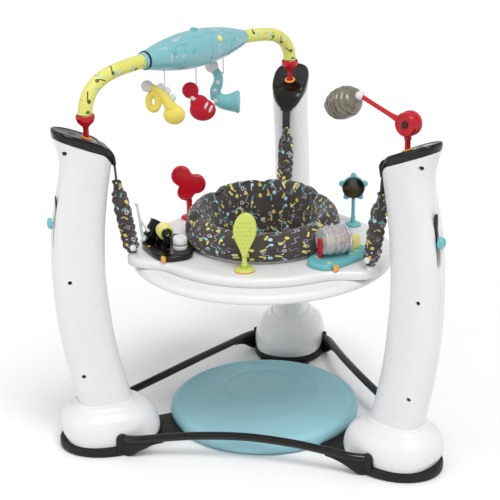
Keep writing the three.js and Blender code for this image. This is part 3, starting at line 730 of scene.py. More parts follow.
def tower_half(name, side):
    """One of the two moulded shells that meet down the middle of a tower."""
    segments, rows = 36, 72
    rings = []
    for row in range(rows + 1):
        skin = [tower_point(math.pi * i / segments, row / rows) for i in range(segments + 1)]
        middle = (skin[0] + skin[-1]) / 2
        for end in (0, -1):
            # The shells' edges turn in a little, which leaves the parting line.
            skin[end] = skin[end].lerp(middle, 0.022)
            skin[end].y = 0.25
        for i, share in ((1, 0.006), (-2, 0.006)):
            skin[i] = skin[i].lerp(middle, share)
        rings.append([(p.x, p.y * side, p.z) for p in skin])
    shell = loft(name, rings)
    pocket = turn(slab("pocket", oval_outline(62, 7.5, 6), 30, 0.3), 90, "Y")
    wells = [shift(pocket, SLOT_RADIUS, 0, SLOT_HEIGHT)]
    for radius, z in SCREW_PLACES:
        floor = flank(radius, z) - 5
        wells.append(sweep("well", [(radius, side * 60, z), (radius, side * floor, z)], 5.2, 20))
    return carve(shell, wells)


def screw(name, radius, side, z):
    """A sunk cross-head screw in the flank of a tower."""
    depth = side * (flank(radius, z) - 5.4)
    head = sweep(name, [(radius, depth, z), (radius, depth + side * 1.5, z)], 4.7, 20)
    for angle in (0, 90):
        arm = Vector((3.2 * math.cos(rad(angle)), 0, 3.2 * math.sin(rad(angle))))
        middle = Vector((radius, depth + side * 1.6, z))
        bar = sweep("bar", [middle - arm, middle + arm], 0.8, 8)
        head = merge(name, [head, bar])
    return head


def make_tower(name, angle):
    for side, letter in ((1, "a"), (-1, "b")):
        shell = tower_half(f"{name}_tower_{letter}", side)
        give(stand(shell, angle), "base", WHITE, "white_plastic", f"tower_{name}_shell_{letter}")
        for i, (radius, z) in enumerate(SCREW_PLACES):
            head = screw(f"{name}_screw_{letter}{i}", radius, side, z)
            give(stand(head, angle), "base", DARK, "dark_plastic")
    # A dark sheet laid in the floor of the slot's pocket: painted shade inside the slot.
    shade_sheet = turn(slab(f"{name}_slot_shade_sheet", oval_outline(61.5, 7.2, 6), 2, 0.3), 90, "Y")
    shift(shade_sheet, SLOT_RADIUS - 0.5, 0, SLOT_HEIGHT)
    give(stand(shade_sheet, angle), "base", DARK, "dark_plastic")
    outline = [(1, 0), (13, 0), (13.4, 3), (12.2, 7), (9.5, 9.2), (4, 8.2), (1, 8)]
    knob = turn(lathe(f"{name}_knob", outline, 36), 90, "Y")
    shift(knob, SLOT_RADIUS + 13.5, 0, SLOT_HEIGHT - 2)
    give(stand(knob, angle), f"slider_{name}", TEAL_PLASTIC, "teal_plastic", f"height_slider_{name}")


def cap_ring(share, level, sides=72):
    """Ring of a cap's lid: its share of the full width, at this share of the lid's thickness."""
    ring = []
    for angle in circle(sides):
        x, y = rounded(angle, TOWER_SQUARENESS)
        radius = 432.5 + 66.5 * share * x
        thick = 22 - 4 * (share * x) ** 2
        ring.append((radius, 46 * share * y, tower_top(radius) + 0.3 + level * thick))
    return ring


def cap_lid(name):
    outline = [(0.02, 0.02), (0.9, 0.02), (0.99, 0), (1.003, 0.12), (1.015, 0.4), (1.015, 0.62),
               (1.0, 0.82), (0.97, 0.95), (0.93, 1.0), (0.89, 1.0), (0.865, 0.96), (0.84, 0.93),
               (0.5, 0.93), (0.02, 0.94)]
    return loft(f"{name}_cap_lid", [cap_ring(share, level) for share, level in outline])


def cap_tongue(name):
    """The part of a cap that curls down over the tower's inner edge."""
    pairs = [((356.5, 701), (364.8, 701)), ((358, 714), (367, 713)), ((363, 731), (376, 729)),
             ((374, 746), (390, 739)), ((391, 755), (404, 746))]
    outer = through([(r, 0, z) for (r, z), _ in pairs], 28)
    inner = through([(r, 0, z) for _, (r, z) in pairs], 28)
    rings = []
    for a, b in zip(outer, inner):
        middle = (a + b) / 2
        wide = lerp(14, 40, smooth_step(middle.z, 698, 755))
        rings.append(squared_ring(middle, (b - a) / 2, Vector((0, wide, 0)), 5, 40))
    return loft(f"{name}_cap_tongue", rings)


def make_cap(name, angle):
    """A tower's black cap, with the socket of its toy and a spare one."""
    cap = merge(f"{name}_cap", [cap_lid(name), cap_tongue(name)])
    cap.data.set_sharp_from_angle(angle=rad(40))
    give(stand(cap, angle), "base", BLACK, "black_plastic", f"tower_cap_{name}")
    rim = [(8, -4), (14, -4), (14, 0.6), (12.6, 1.8), (9, 1.8), (8, 0.8)]
    collar = lathe(f"{name}_socket_insert", rim, 36, "joined")
    stand(turn(collar, -22, "Y"), angle, SOCKET_RADIUS, tower_top(SOCKET_RADIUS) + 21)
    give(collar, "base", ORANGE, "red_plastic")
    cup = [(1, -3), (8.5, -3), (8.5, 0.7), (7, 0.8), (6.4, -2.2), (1, -2.2)]
    hollow = lathe(f"{name}_spare_socket", cup, 36)
    spare_radius = 452
    stand(turn(hollow, -22, "Y"), angle, spare_radius, tower_top(spare_radius) + 20)
    give(hollow, "base", DARK, "dark_plastic")


# ------------------------------------------------------------------ base
def foot_shape(x, y, z):
    """Squares a foot cover's round section and leans it to follow its tower."""
    share = (z - PLATE_TOP) / (COVER_TOP - PLATE_TOP)
    centre = lerp(398, tower_section(COVER_TOP)[0], share)
    angle = math.atan2(y, x)
    square = (abs(math.cos(angle)) ** 2.5 + abs(math.sin(angle)) ** 2.5) ** -0.4
    return centre + x * square, y * square * FOOT_WIDTH / FOOT_LENGTH, z


# One half of a base tube from its middle, in a frame whose X points at the tube's middle.
TUBE_HALF = [(259, 0, 64), (264, 110, 60), (274, 195, 53), (281, 245, 48), (281, 275, 45), (274, 303, 44),
             (262, 334, 46)]


def tube_path(steps=90):
    """Centreline of a base tube, which swings out just before it enters each foot."""
    other = [(x, -y, z) for x, y, z in reversed(TUBE_HALF[1:])]
    return through(other + TUBE_HALF, steps)


def web(name, side):
    """The thin black fin that holds a base tube up beside its foot."""
    rings = []
    steps = 20
    for i, spot in enumerate(through(TUBE_HALF[2:6], steps)):
        top = spot.z - 7
        low = lerp(0.5, top - 5, smooth_step(1 - i / steps, 0.2, 1))
        middle = Vector((spot.x, spot.y * side, (top + low) / 2))
        rings.append(squared_ring(middle, Vector((6, 0, 0)), Vector((0, 0, (top - low) / 2)), 5, 20))
    return loft(name, rings)


def make_foot_cover(name, angle):
    knots = [(115, 0, 25), (119, 0, 42), (117, 0, 64), (108, 0, 84), (92, 0, 98), (76, 0, 107), (69, 0, 116)]
    side = [(p.x, p.z) for p in through(knots, 36)]
    outline = [(1, PLATE_TOP), (114, PLATE_TOP), *side, (60, COVER_RIM), (1, COVER_RIM)]
    cover = lathe(f"{name}_foot_cover", outline, 72, shape=foot_shape)
    give(stand(cover, angle), "base", WHITE, "white_plastic", f"foot_cover_{name}")


def make_foot_base(name, angle):
    """The black plate under a foot, with a waisted tongue towards the middle."""
    profile = [(1, 0), (119, 0), (124, 2), (126, 6), (126, 19), (124, 23), (120, 24.6), (1, 24.6)]
    plate = lathe(f"{name}_foot_plate", profile, 72, shape=lambda x, y, z: (401 + x, y * 0.79, z))
    side = []
    steps = 16
    for i in range(steps + 1):
        way = i / steps
        side.append((lerp(206, 330, way), lerp(62, 76, way) - 10 * math.sin(math.pi * way)))
    tongue = slab("tongue", side + [(x, -y) for x, y in reversed(side)], 12, 2.5)
    base = merge(f"{name}_foot_base", [plate, tongue])
    give(stand(base, angle), "base", FOOT_BLACK, "black_plastic", f"foot_base_{name}")


def make_tube_holders(angle):
    """The two black arches on a foot that its tubes run into."""
    arch = [(14 * math.cos(rad(t)), 44 + 14 * math.sin(rad(t))) for t in range(0, 181, 12)]
    for side in (1, -1):
        holder = standing([(-14, 14), (14, 14)] + arch, 34, 3)
        give(stand(shift(holder, 397, side * 86), angle), "base", FOOT_BLACK, "black_plastic")


def make_foot(name, angle):
    make_foot_cover(name, angle)
    make_foot_base(name, angle)
    make_tube_holders(angle)


def make_tubes():
    for name, angle in (("front", 270), ("right", 30), ("left", 150)):
        tube = sweep(f"{name}_tube", tube_path(), TUBE_RADIUS, 28)
        give(stand(tube, angle), "base", TUBE_BLACK, "black_tube", f"base_tube_{name}")
        for side in (1, -1):
            give(stand(web(f"{name}_web_{side}", side), angle), "base", FOOT_BLACK, "black_plastic")


# Radius and centre of each round step in the mat.
MAT_STEPS = [(210, -5, 0), (165, -40, 40), (95, -18, 67), (64, 8, 105)]


def make_mat():
    """The bounce mat, with a rounded rim and rings of shallow steps that aren't on one centre."""
    def lower(x, y, z):
        drop = sum(2.0 * smooth_step(size - math.hypot(x - cx, y - cy), -1.6, 1.6)
                   for size, cx, cy in MAT_STEPS)
        return x, y, z - drop if z > 39 else z

    edge = through([(225, 0, 0.3), (235, 0, 8), (239, 0, 21), (235, 0, 34), (224, 0, 42)], 22)
    outline = [(1, 0.3)] + [(p.x, p.z) for p in edge]
    rows = 130
    outline += [(224 * (1 - (i + 1) / rows) + 0.6, 42) for i in range(rows)]
    mat = lathe("mat", outline, 120, shape=lower)
    give(mat, "base", MAT_TEAL, "mat_plastic", "bounce_mat")


# ------------------------------------------------------------------ tray
def tray_radius(angle):
    return TRAY_PLATEAU + TRAY_LOBE * max(0, math.cos(3 * (angle - math.pi / 2))) ** 6


def make_tray():
    """The white top with its three strap lobes, and the rounded lip below it."""
    rings = []
    for angle in circle(216):
        edge = tray_radius(angle)
        profile = [(166, 460), (165, 468), (166.5, 471.2), (170, TRAY_Z), (178, TRAY_Z), (215, 472.2),
                   (edge - 22, 472.2), (edge - 9, 471.6), (edge - 4, 470), (edge - 1, 466.5),
                   (edge, 461), (edge, 453), (edge - 1.2, 451.2), (edge - 3, 451.4), (edge - 4, 455),
                   (edge - 5, 463), (edge - 12, 466), (200, 466), (172, 466), (168, 460)]
        rings.append([(r * math.cos(angle), r * math.sin(angle), z) for r, z in profile])
    top = loft("tray_board", rings, "joined", sharp=60)
    bosses = []
    for angle in TOWERS.values():
        boss = lathe("boss", [(1, -3), (13, -3), (11, 2), (9, 6), (7.4, 8.4), (6, 9), (1, 9)], 32)
        bosses.append(stand(boss, angle, ANCHOR_RADIUS, TRAY_Z))
    top = merge("tray_board", [top, *bosses])
    give(top, "tray", WHITE, "white_plastic", "tray_top")
    edge = through([(300, 0, 450.7), (314, 0, 447.5), (320, 0, 438), (317, 0, 428), (304, 0, 424),
                    (282, 0, 432), (255, 0, 443)], 36)
    outline = [(205, 449.9)] + [(p.x, p.z) for p in edge] + [(205, 443.7)]
    lip = lathe("tray_lip", outline, 144, "joined", sharp=60)
    give(lip, "tray", WHITE, "white_plastic", "tray_base")


# ------------------------------------------------------------------ seat
# Section of the seat's collar as (radius, height).
COLLAR = [(147, 472), (160, 478), (176, 477), (186, 483), (188.5, 496), (187, 512), (180, 527), (169, 537),
          (157, 541), (146, 537), (137, 524), (131, 500), (129, 474), (133, 463), (141, 463)]
# Angle in degrees, depth in millimetres and width in degrees of each fold.
CREASES = ((203, 13, 5), (338, 12, 5), (100, 7, 5), (148, 9, 5), (258, 4, 5), (40, 8, 6), (300, 4, 4))


def seat_rise(x, y, z):
    """Lifts the back of the seat above its front."""
    share = min(max((z - 478) / 62, 0), 1)
    rear = 0.5 + 0.5 * y / max(math.hypot(x, y), 1)
    return z + 34 * share * rear**1.3


def collar_point(radius, z, angle):
    """A point of the padded collar, with its folds and wrinkles."""
    degrees = math.degrees(angle) % 360
    high = smooth_step(z, 480, 515)
    fold = 0
    for place, depth, width in CREASES:
        fold += depth * math.exp(-((degrees - place) / width) ** 2)
    wrinkle = noise.noise(Vector((math.cos(angle) * 5, math.sin(angle) * 5, z / 60))) * 5
    wrinkle += noise.noise(Vector((math.cos(angle) * 14, math.sin(angle) * 14, z / 30))) * 2.6
    radius = radius - (fold - wrinkle) * high * (1 if radius > 150 else -0.4)
    x, y = radius * math.cos(angle), radius * math.sin(angle)
    return x, y, seat_rise(x, y, z) - fold * 0.6 * high


def make_collar():
    loop = through([(r, z, 0) for r, z in COLLAR + COLLAR[:3]], 68)[4:-4]
    rings = []
    for angle in circle(200):
        rings.append([collar_point(p.x, p.y, angle) for p in loop])
    collar = loft("seat_collar", rings, "joined", cloth=True, sharp=180)
    inflate(collar, lambda p: p.z < 484, 6)
    return collar


def leg_path(side):
    return [Vector((side * 40, -30, 430)), Vector((side * 84, -160, 352)), Vector((side * 96, -195, 331))]


def leg_piping(bucket, side):
    """The piping round a leg hole, laid where lines along the leg meet the uncut sling."""
    start, middle, end = leg_path(side)
    axis = (middle - start).normalized()
    across = axis.cross(Vector((0, 0, 1))).normalized()
    over = across.cross(axis)
    loop = []
    for turned in circle(48):
        arm = across * math.cos(turned) + over * math.sin(turned)
        hit, place, _, _ = bucket.ray_cast((end + arm * 55) * MM, -axis)
        if hit:
            loop.append(place / MM)
    return sweep("piping", loop, 3.4, 12, cloth=True, ends="joined")


def make_bucket():
    """The sling below the collar, open at the top, with its two leg holes."""
    outer = through([(4, 0, 322), (62, 0, 330), (112, 0, 366), (143, 0, 428), (147, 0, 478)], 30)
    inner = through([(131, 0, 478), (119, 0, 392), (68, 0, 344), (4, 0, 336)], 24)
    outline = [(p.x, p.z) for p in outer + inner]

    def sag(x, y, z):
        angle = math.atan2(y, x)
        ripple = 1 + 0.012 * noise.noise(Vector((math.cos(angle) * 4, math.sin(angle) * 4, z / 40)))
        return x * ripple, y * ripple, z

    bucket = lathe("seat_bucket", outline, 96, shape=sag, cloth=True, sharp=180)
    pipings = [leg_piping(bucket, side) for side in (1, -1)]
    holes = [sweep("hole", leg_path(side), lambda t: lerp(50, 55, t), 40) for side in (1, -1)]
    carve(bucket, holes)
    return merge("seat_bucket", [bucket, *pipings])


def make_seat():
    bucket = give(make_bucket(), "seat", PRINTED, "seat_fabric")
    collar = give(make_collar(), "seat", PRINTED, "seat_fabric", "seat_fabric")
    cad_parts["seat_ring"].data.materials.clear()
    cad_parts["seat_ring"].data.materials.append(WHITE)


# ------------------------------------------------------------------ suspension
def hang_radius(z):
    return lerp(SLEEVE_TOP_RADIUS, ANCHOR_RADIUS, (SLEEVE_TOP - z) / (SLEEVE_TOP - SLEEVE_BOTTOM))


def turned_point(radius, angle, z):
    """A point in metres from its radius, angle and height."""
    return radius * MM * math.cos(rad(angle)), radius * MM * math.sin(rad(angle)), z * MM


def hang(piece, angle, material, node, spots):
    """Finishes a piece: its material, the CAD node it stands for and its place round the centre, baked into
    its points; spots are the (radius, height) of its two ends.
    """
    piece.data.materials.append(material)
    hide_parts(node)
    stand(piece, angle)
    start, end = [turned_point(radius, angle, z) for radius, z in spots]
    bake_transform(piece)


def sleeve_size(z, angle):
    """Radius of a gathered sleeve at this height, before its pleats."""
    size = 12 + 6.5 * smooth_step(z, 482, 504) - 9 * smooth_step(z, 618, 646)
    swell = 0.8 + 0.5 * noise.noise(Vector((z / 23, angle, 0)))
    gather = abs(math.sin(math.pi * (z - SLEEVE_BOTTOM) / 19 + math.sin(z / 17))) ** 0.7
    return size + 5.0 * swell * (gather - 0.7) * smooth_step(z, 486, 500) * (1 - smooth_step(z, 630, 648))


def sleeve_ring(z, angle, sides=48):
    """A sleeve's outer ring, with its pleats; it starts at the same side for every tower."""
    size = sleeve_size(z, angle)
    ring = []
    for k in range(sides):
        turned = 2 * math.pi * k / sides + rad(10 - angle)
        spot = Vector((math.cos(turned) * 1.6, math.sin(turned) * 1.6, z / 9 + angle))
        pleat = 2.6 * noise.noise(spot) + 0.8 * math.sin(turned * 11 + z / 6)
        lump = size + pleat * smooth_step(size, 6, 14)
        lump += (1 + 1.4 * math.sin(turned * 7)) * smooth_step(z, 650, 660)
        ring.append((hang_radius(z) + lump * math.cos(turned), lump * math.sin(turned), z))
    return ring


def make_sleeve(name, angle):
    """A fabric sleeve gathered by the elastic inside it, open at both ends."""
    steps = 128
    levels = [lerp(SLEEVE_BOTTOM, SLEEVE_TOP, i / steps) for i in range(steps + 1)]
    rings = [sleeve_ring(z, angle) for z in levels]
    inside = []
    for z, ring in zip(levels, rings):
        middle = Vector((hang_radius(z), 0, z))
        inside.append([middle + (Vector(p) - middle) * 0.86 for p in ring])
    sleeve = loft(f"{name}_sleeve", rings + inside[::-1], "joined", cloth=True, sharp=180)
    held = [(hang_radius(z), z) for z in (SLEEVE_TOP - 4, SLEEVE_BOTTOM + 6)]
    hang(sleeve, angle, PRINTED, f"spring_sleeve_{name}", held)


def make_spring(name, angle):
    path = []
    points, coils = 320, 16
    for i in range(points):
        z = lerp(487, 610, i / (points - 1))
        turned = 2 * math.pi * coils * i / (points - 1)
        path.append((hang_radius(z) + 9 * math.cos(turned), 9 * math.sin(turned), z))
    spring = sweep(f"{name}_spring", path, 0.9, 8)
    held = [(hang_radius(z), z) for z in (606, 490)]
    hang(spring, angle, STEEL, f"spring_{name}", held)


def make_strap(name, angle):
    path = through([(355.9, 0, 650), (356.6, 0, 672), (358.5, 0, 696), (361.3, 0, 722)], 24)
    rings = [squared_ring(centre, Vector((1.1, 0, 0)), Vector((0, 10, 0)), 6, 16) for centre in path]
    strap = loft(f"{name}_strap", rings)
    held = [(361, 715), (356, 664)]
    hang(strap, angle, WEBBING, f"strap_{name}", held)


def make_snap(name, angle):
    """The white snap that closes the foot of a sleeve."""
    snap = lathe(f"{name}_snap", [(1, 0), (7, 0), (7.4, 1.2), (6.2, 2.6), (3.4, 3.2), (3, 2.4), (1, 2.4)], 24)
    side = 1 if name == "left" else -1
    turn(snap, -90 * side, "X")
    shift(snap, hang_radius(497), 17 * side, 497)
    give(stand(snap, angle), "tray", WHITE, "white_plastic")


# ------------------------------------------------------------------ toy arch and its plush toys
ARCH_LINE = [(0, 0, 815), (1, 0, 832), (7, 0, 854), (25, 0, 878), (60, 0, 898), (112, 0, 909), (184, 0, 914)]
ARCH_FRAME = Matrix.Translation(Vector((*ARCH_START, 0)) * MM) @ Matrix.Rotation(rad(60), 4, "Z")


def on_arch(piece):
    return move(piece, ARCH_FRAME)


def console_size(share):
    swell = max(math.sin(math.pi * share), 0) ** 0.85
    return lerp(CONSOLE_END_RADIUS, CONSOLE_RADIUS, swell)


def console_surface(share, degrees, lift):
    """Point on the console's skin; degrees turn from straight forward up to the top."""
    size = console_size(share) + lift
    x = lerp(CONSOLE_START, CONSOLE_END, share)
    return Vector((x, -size * math.cos(rad(degrees)), CONSOLE_Z + size * math.sin(rad(degrees))))


def make_console_ribs():
    """A raised wavy line along the console and three bows across it."""
    zigzag = [(0.20, 30), (0.27, 44), (0.33, 36), (0.42, 54), (0.47, 47), (0.56, 60), (0.60, 50), (0.70, 58),
              (0.74, 44), (0.82, 46)]
    bows = [[(share, degrees) for degrees in range(-50, 40, 6)] for share in (0.30, 0.55, 0.76)]
    for spots in (zigzag, *bows):
        line = through([console_surface(share, degrees, 0.1) for share, degrees in spots], 80)
        rib = sweep("console_rib", line, 1.1, 8)
        give(on_arch(rib), "base", CONSOLE_TEAL, "teal_plastic")


def make_console_seam():
    share, half = 0.03, 2.4
    edge = console_size(share)
    outline = [(1, -half), (edge + 1.3, -half), (edge + 1.9, 0), (edge + 1.3, half), (1, half)]
    ring = turn(lathe("seam", outline, 48), 90, "Y")
    shift(ring, lerp(CONSOLE_START, CONSOLE_END, share), 0, CONSOLE_Z)
    give(on_arch(ring), "base", BLACK, "teal_plastic")


def make_console_studs():
    """Four small round studs; the biggest is yellow."""
    for x, degrees, size in ((262, 22, 7), (318, 8, 6), (415, 30, 8), (470, 14, 6)):
        share = (x - CONSOLE_START) / (CONSOLE_END - CONSOLE_START)
        spot = console_surface(share, degrees, -0.6)
        stud = lathe("stud", [(1, 0), (size, 0), (size - 0.6, 1.6), (size - 2.4, 2.6), (1, 2.9)], 28)
        turn(stud, 90 - degrees, "X")
        color = PALE_YELLOW if size > 7 else TEAL_PLASTIC
        give(on_arch(shift(stud, *spot)), "base", color, "yellow_plastic")


def make_console():
    path = [(lerp(CONSOLE_START, CONSOLE_END, i / 72), 0, CONSOLE_Z) for i in range(73)]
    body = sweep("console", path, console_size, 48, cloth=True)
    give(on_arch(body), "base", CONSOLE_TEAL, "teal_plastic", "arch_console")
    make_console_ribs()
    make_console_seam()
    make_console_studs()
    profile = [(1, 34), (8.2, 34), (9.5, 38), (9.5, 46), (8.6, 49.5), (6, 51), (1, 51.4)]
    button = shift(lathe("console_button", profile, 32), CHORD / 2, 0, CONSOLE_Z)
    give(on_arch(button), "console_button", TEAL_PLASTIC, "teal_plastic", "console_button")


def make_arch():
    """The arch's two curved tubes, each in a cup on its tower, with a seam round its foot."""
    cup = [(1, 754), (6.5, 754), (6.5, 791), (7.5, 796), (13, 801), (19, 807), (22, 816), (21.8, 822),
           (20.6, 823.4), (19, 823), (17.6, 817), (16, 813), (1, 811)]
    for name, flip, start in (("left", 1, 0), ("right", -1, CHORD)):
        def thickness(share):
            return 16.5 + 0.35 * noise.noise(Vector((share * 30, flip, 0)))

        line = [Vector((start + flip * p.x, 0, p.z)) for p in through(ARCH_LINE, 60)]
        tube = sweep(f"arch_tube_{name}_visual", line, thickness, 36, cloth=True, up=(0, 1, 0))
        give(on_arch(tube), "base", ARCH_YELLOW, "yellow_plastic", f"arch_tube_{name}")
        socket = shift(lathe(f"arch_cup_{name}_visual", cup, 48), start)
        give(on_arch(socket), "base", RED, "red_plastic", f"arch_cup_{name}")
        hem = [(15, 0), (17.5, 0.4), (18.1, 2), (17.5, 3.6), (15, 4)]
        seam = lathe("seam", hem, 36, "joined", cloth=True)
        give(on_arch(shift(seam, start, 0, 825)), "base", ARCH_YELLOW, "yellow_plastic")


def plush_blob(spots):
    """One soft toy part from (radius, (x, z), scale) balls and (radii, points) tubes."""
    pieces = []
    for spot in spots:
        if callable(spot[0]) or isinstance(spot[1][0], (tuple, list)):
            size, line = spot
            pieces.append(sweep("limb", through([(x, 0, z) for x, z in line], 24), size, 20, up=(0, 1, 0)))
        else:
            size, (x, z), *scale = spot
            pieces.append(ball("blob", size, (x, 0, z), scale[0] if scale else (1, 0.85, 1)))
    return fuse("plush", pieces, 1.5, 6)


def horn_parts():
    turns = [rad(lerp(-20, 340, i / 30)) for i in range(31)]
    loop = [(-29 + 11.5 * math.cos(a), -34 + 19 * math.sin(a)) for a in turns]
    yellow = plush_blob([
        (lambda t: lerp(8.5, 15, t * t), [(-38, 3), (-24, -2), (-10, -12), (2, -28), (12, -48)]),
        (8.5, loop),
        (27, (20, -66), (1, 0.66, 0.9)),
        (19, (13, -48), (0.85, 0.7, 0.9)),
    ])
    white = [ball("mouth", 15, (-43, 0, 4), (1, 0.9, 0.95))]
    white += [ball("valve", 8.5, (x, 0, z), (0.9, 0.9, 1.15)) for x, z in ((-10, 2), (6, -8), (18, -24))]
    return [(yellow, PLUSH_YELLOW)] + [(p, PLUSH_WHITE) for p in white]


def guitar_parts():
    red = plush_blob([
        (21, (-15, -17), (1, 0.62, 1)),
        (9, [(-12, -26), (-2, -40), (6, -50)]),
        (27, (6, -48), (0.85, 0.55, 0.75)),
        (33, (14, -66), (1, 0.52, 0.85)),
    ])
    band = turn(lathe("band", [(8, -4), (11.6, -4.4), (12.4, 0), (11.6, 4.4), (8, 4)], 32, "joined"), 36, "Y")
    shift(band, -7, 0, -35)
    bars = []
    for x, z in ((24, -52), (35, -60)):
        bar = ball("bar", 10.5, (0, 0, 0), (0.34, 0.4, 1.0), 20)
        bars.append(shift(turn(bar, 25, "Y"), x, -14.5, z))
    return [(red, PLUSH_RED), (band, PLUSH_WHITE)] + [(p, PLUSH_WHITE) for p in bars]


def sax_parts():
    teal = plush_blob([
        (lambda t: lerp(10.5, 15, t), [(-22, 8), (-13, -9), (-14, -28), (-21, -46), (-19, -68)]),
        (lambda t: lerp(17, 33, t**1.5) - 7 * smooth_step(t, 0.86, 1),
         [(-18, -66), (-2, -74), (16, -76), (30, -75), (40, -75)]),
    ])
    white = [ball("mouth", 17, (-29, 0, 17), (1, 0.85, 1))]
    keys = ((-14, -11, -22), (-21, -12, -43), (-20, -16, -68))
    white += [ball("key", 5.4, spot, (1, 0.6, 1)) for spot in keys]
    return [(teal, PLUSH_TEAL)] + [(p, PLUSH_WHITE) for p in white]


# Parts, place along the arch, top and bottom of the ribbon, where the ribbon is sewn on, slot.
PLUSH_TOYS = {
    "horn": (horn_parts, 258, 877.4, 836.9, (-6, -10), "plush_yellow"),
    "guitar": (guitar_parts, 367, 867.3, 826.8, (-7, -8), "plush_red"),
    "sax": (sax_parts, 466, 876.9, 836.4, (-11, -12), "plush_teal"),
}


def make_string(name, place, top, bottom):
    """The white ribbon a plush toy hangs by: a free cord of its real length."""
    data = bpy.data.curves.new(f"{name}_ribbon", "CURVE")
    data.dimensions = "3D"
    data.bevel_depth = 0.0014
    data.bevel_resolution = 3
    data.use_fill_caps = True
    line = data.splines.new("POLY")
    steps = 12
    line.points.add(steps)
    for i in range(steps + 1):
        line.points[i].co = (place.x * MM, place.y * MM, lerp(top, bottom, i / steps) * MM, 1)
    ribbon = link(f"{name}_ribbon", data)
    data.materials.append(PLUSH_WHITE)
    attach(ribbon, name)
    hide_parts(f"string_{name}")


def make_plush(name):
    """A toy on its ribbon, turned a little to face the front, with the ribbon's sewn end."""
    parts, along, top, bottom, hold, slot = PLUSH_TOYS[name]
    place = Vector((ARCH_START[0] + along * 0.5, ARCH_START[1] + along * math.sqrt(0.75)))

    def under_arch(piece):
        return shift(turn(piece, 8), place.x, place.y, bottom)

    make_string(name, place, top, bottom)
    for i, (piece, material) in enumerate(parts()):
        piece.name = f"{name}_plush_{i}"
        nodes = [f"plush_{name}"] if i == 0 else []
        give(under_arch(piece), name, material, slot, *nodes)
    line = through([(0, 0, 0), (hold[0] * 0.4, 0, -3), (hold[0], 0, hold[1])], 10)
    sewn = sweep(f"{name}_ribbon_end", line, 2.4, 12, up=(0, 1, 0))
    give(under_arch(sewn), name, PLUSH_WHITE, "string")


# ------------------------------------------------------------------ rattle arm
ARM_AXIS = 829
# Section of the arm's rear disc as (radius, height); the front one is a little smaller.
ARM_DISC = [(1, 0), (25, 0), (27.6, 2.5), (28, 8), (27, 14.5), (24.5, 17), (21.5, 17), (20.5, 15), (17, 14.2),
            (1, 14)]


def at_arm(piece):
    return stand(piece, TOWERS["right"], SOCKET_RADIUS)


def make_arm_stalk():
    profile = [(1, 754), (6.5, 754), (6.5, 793), (8.5, 795), (8.5, 799), (7.2, 801.5), (7.2, 812), (1, 812)]
    post = lathe("arm_post", profile, 32)
    rear = shift(turn(lathe("arm_rear_disc", ARM_DISC, 56), -90, "X"), 0, 0.8, ARM_AXIS)
    give(at_arm(merge("arm_stalk_visual", [post, rear])), "arm", RED, "red_plastic", "arm_stalk")


def make_arm_rod():
    """The front disc with its bar, its hub and the white and red rings by the ball."""
    disc = [(r * 0.97, z * 0.88) for r, z in ARM_DISC]
    front = shift(turn(lathe("arm_front_disc", disc, 56), 90, "X"), 0, -0.3, ARM_AXIS)
    rod = sweep("arm_bar", through([(-18, -8, 836), (-60, -8, 851), (-100, -8, 866), (-122, -8, 874)], 24),
                lambda t: lerp(7.2, 5.2, smooth_step(t, 0, 0.25)), 24)
    give(at_arm(merge("arm_rod_visual", [front, rod])), "arm_tip", RED, "red_plastic", "arm_rod")
    hub = turn(lathe("arm_hub", [(1, 0), (7.5, 0), (8, 2), (6.6, 3.6), (1, 4)], 32), 90, "X")
    give(at_arm(shift(hub, 0, -13, ARM_AXIS)), "arm_tip", DARK, "dark_plastic")
    wrist = sweep("arm_wrist", [(-116, -8, 879), (-120, -8, 877), (-128, -8, 873), (-132, -8, 870.5)],
                  lambda t: 9.6 - 2.5 * abs(2 * t - 1) ** 4, 28)
    give(at_arm(wrist), "arm_tip", WHITE, "white_plastic")
    band = sweep("arm_band", [(-131, -8, 871.2), (-136, -8, 868.4)], 8.2, 28)
    give(at_arm(band), "arm_tip", RED, "red_plastic")


def in_ball(piece):
    """Tips a piece of the ball over with the bar and moves it to the bar's end."""
    return at_arm(shift(turn(piece, -28, "Y"), -168, -8, 851.5))


def make_rattle():
    """The ribbed smoke-coloured ball, with a red hollow in its outer end."""
    def swirl(x, y, z):
        wobble = 1 + 0.045 * noise.noise(Vector((x / 17, y / 17, z / 13)))
        wave = 3.2 * math.sin(2 * math.atan2(y, x) + z / 14)
        return x * wobble, y * wobble, z + wave * (1 - abs(z) / 46) ** 0.5

    outline = [(4, -43)]
    steps, ribs = 84, 7
    for i in range(steps + 1):
        x = lerp(-41, 41, i / steps)
        size = 43 * math.sqrt(max(1 - (x / 45.5) ** 2, 0))
        groove = abs(math.sin(math.pi * (x + 41) / 82 * ribs)) ** 0.7
        outline.append((max(size - 4.5 * (1 - groove), 4), x))
    outline += [(14.5, 43), (13, 41), (12, 33), (1, 33)]
    shell = turn(lathe("rattle_ball_visual", outline, 96, shape=swirl), -90, "Y")
    move(shell, Matrix.Diagonal((1, 1, 0.84, 1)))
    give(in_ball(shell), "ball", SMOKE, "smoke_plastic", "rattle_ball")
    plug = turn(lathe("rattle_plug", [(1, 31), (10.5, 31), (11, 36), (8, 39.5), (1, 40)], 36), -90, "Y")
    give(in_ball(plug), "ball", RED, "red_plastic")


# ------------------------------------------------------------------ tray toys
STATION_RADIUS = 236
# Gap between the tray and the toys that stand on it.
GAP = 0.3


def station_plate(length, width, taper):
    """Rounded, tapered plate of a toy station, with a thin foot all round."""
    outline = []
    for angle in circle(72):
        x, y = rounded(angle, 3.2)
        outline.append((length * x * (1 + taper * y * 0.5), width * y))
    return slab("plate", outline, 14, 4, 5)


def at_drum(piece):
    return stand(piece, TOWERS["left"], STATION_RADIUS, TRAY_Z + GAP)


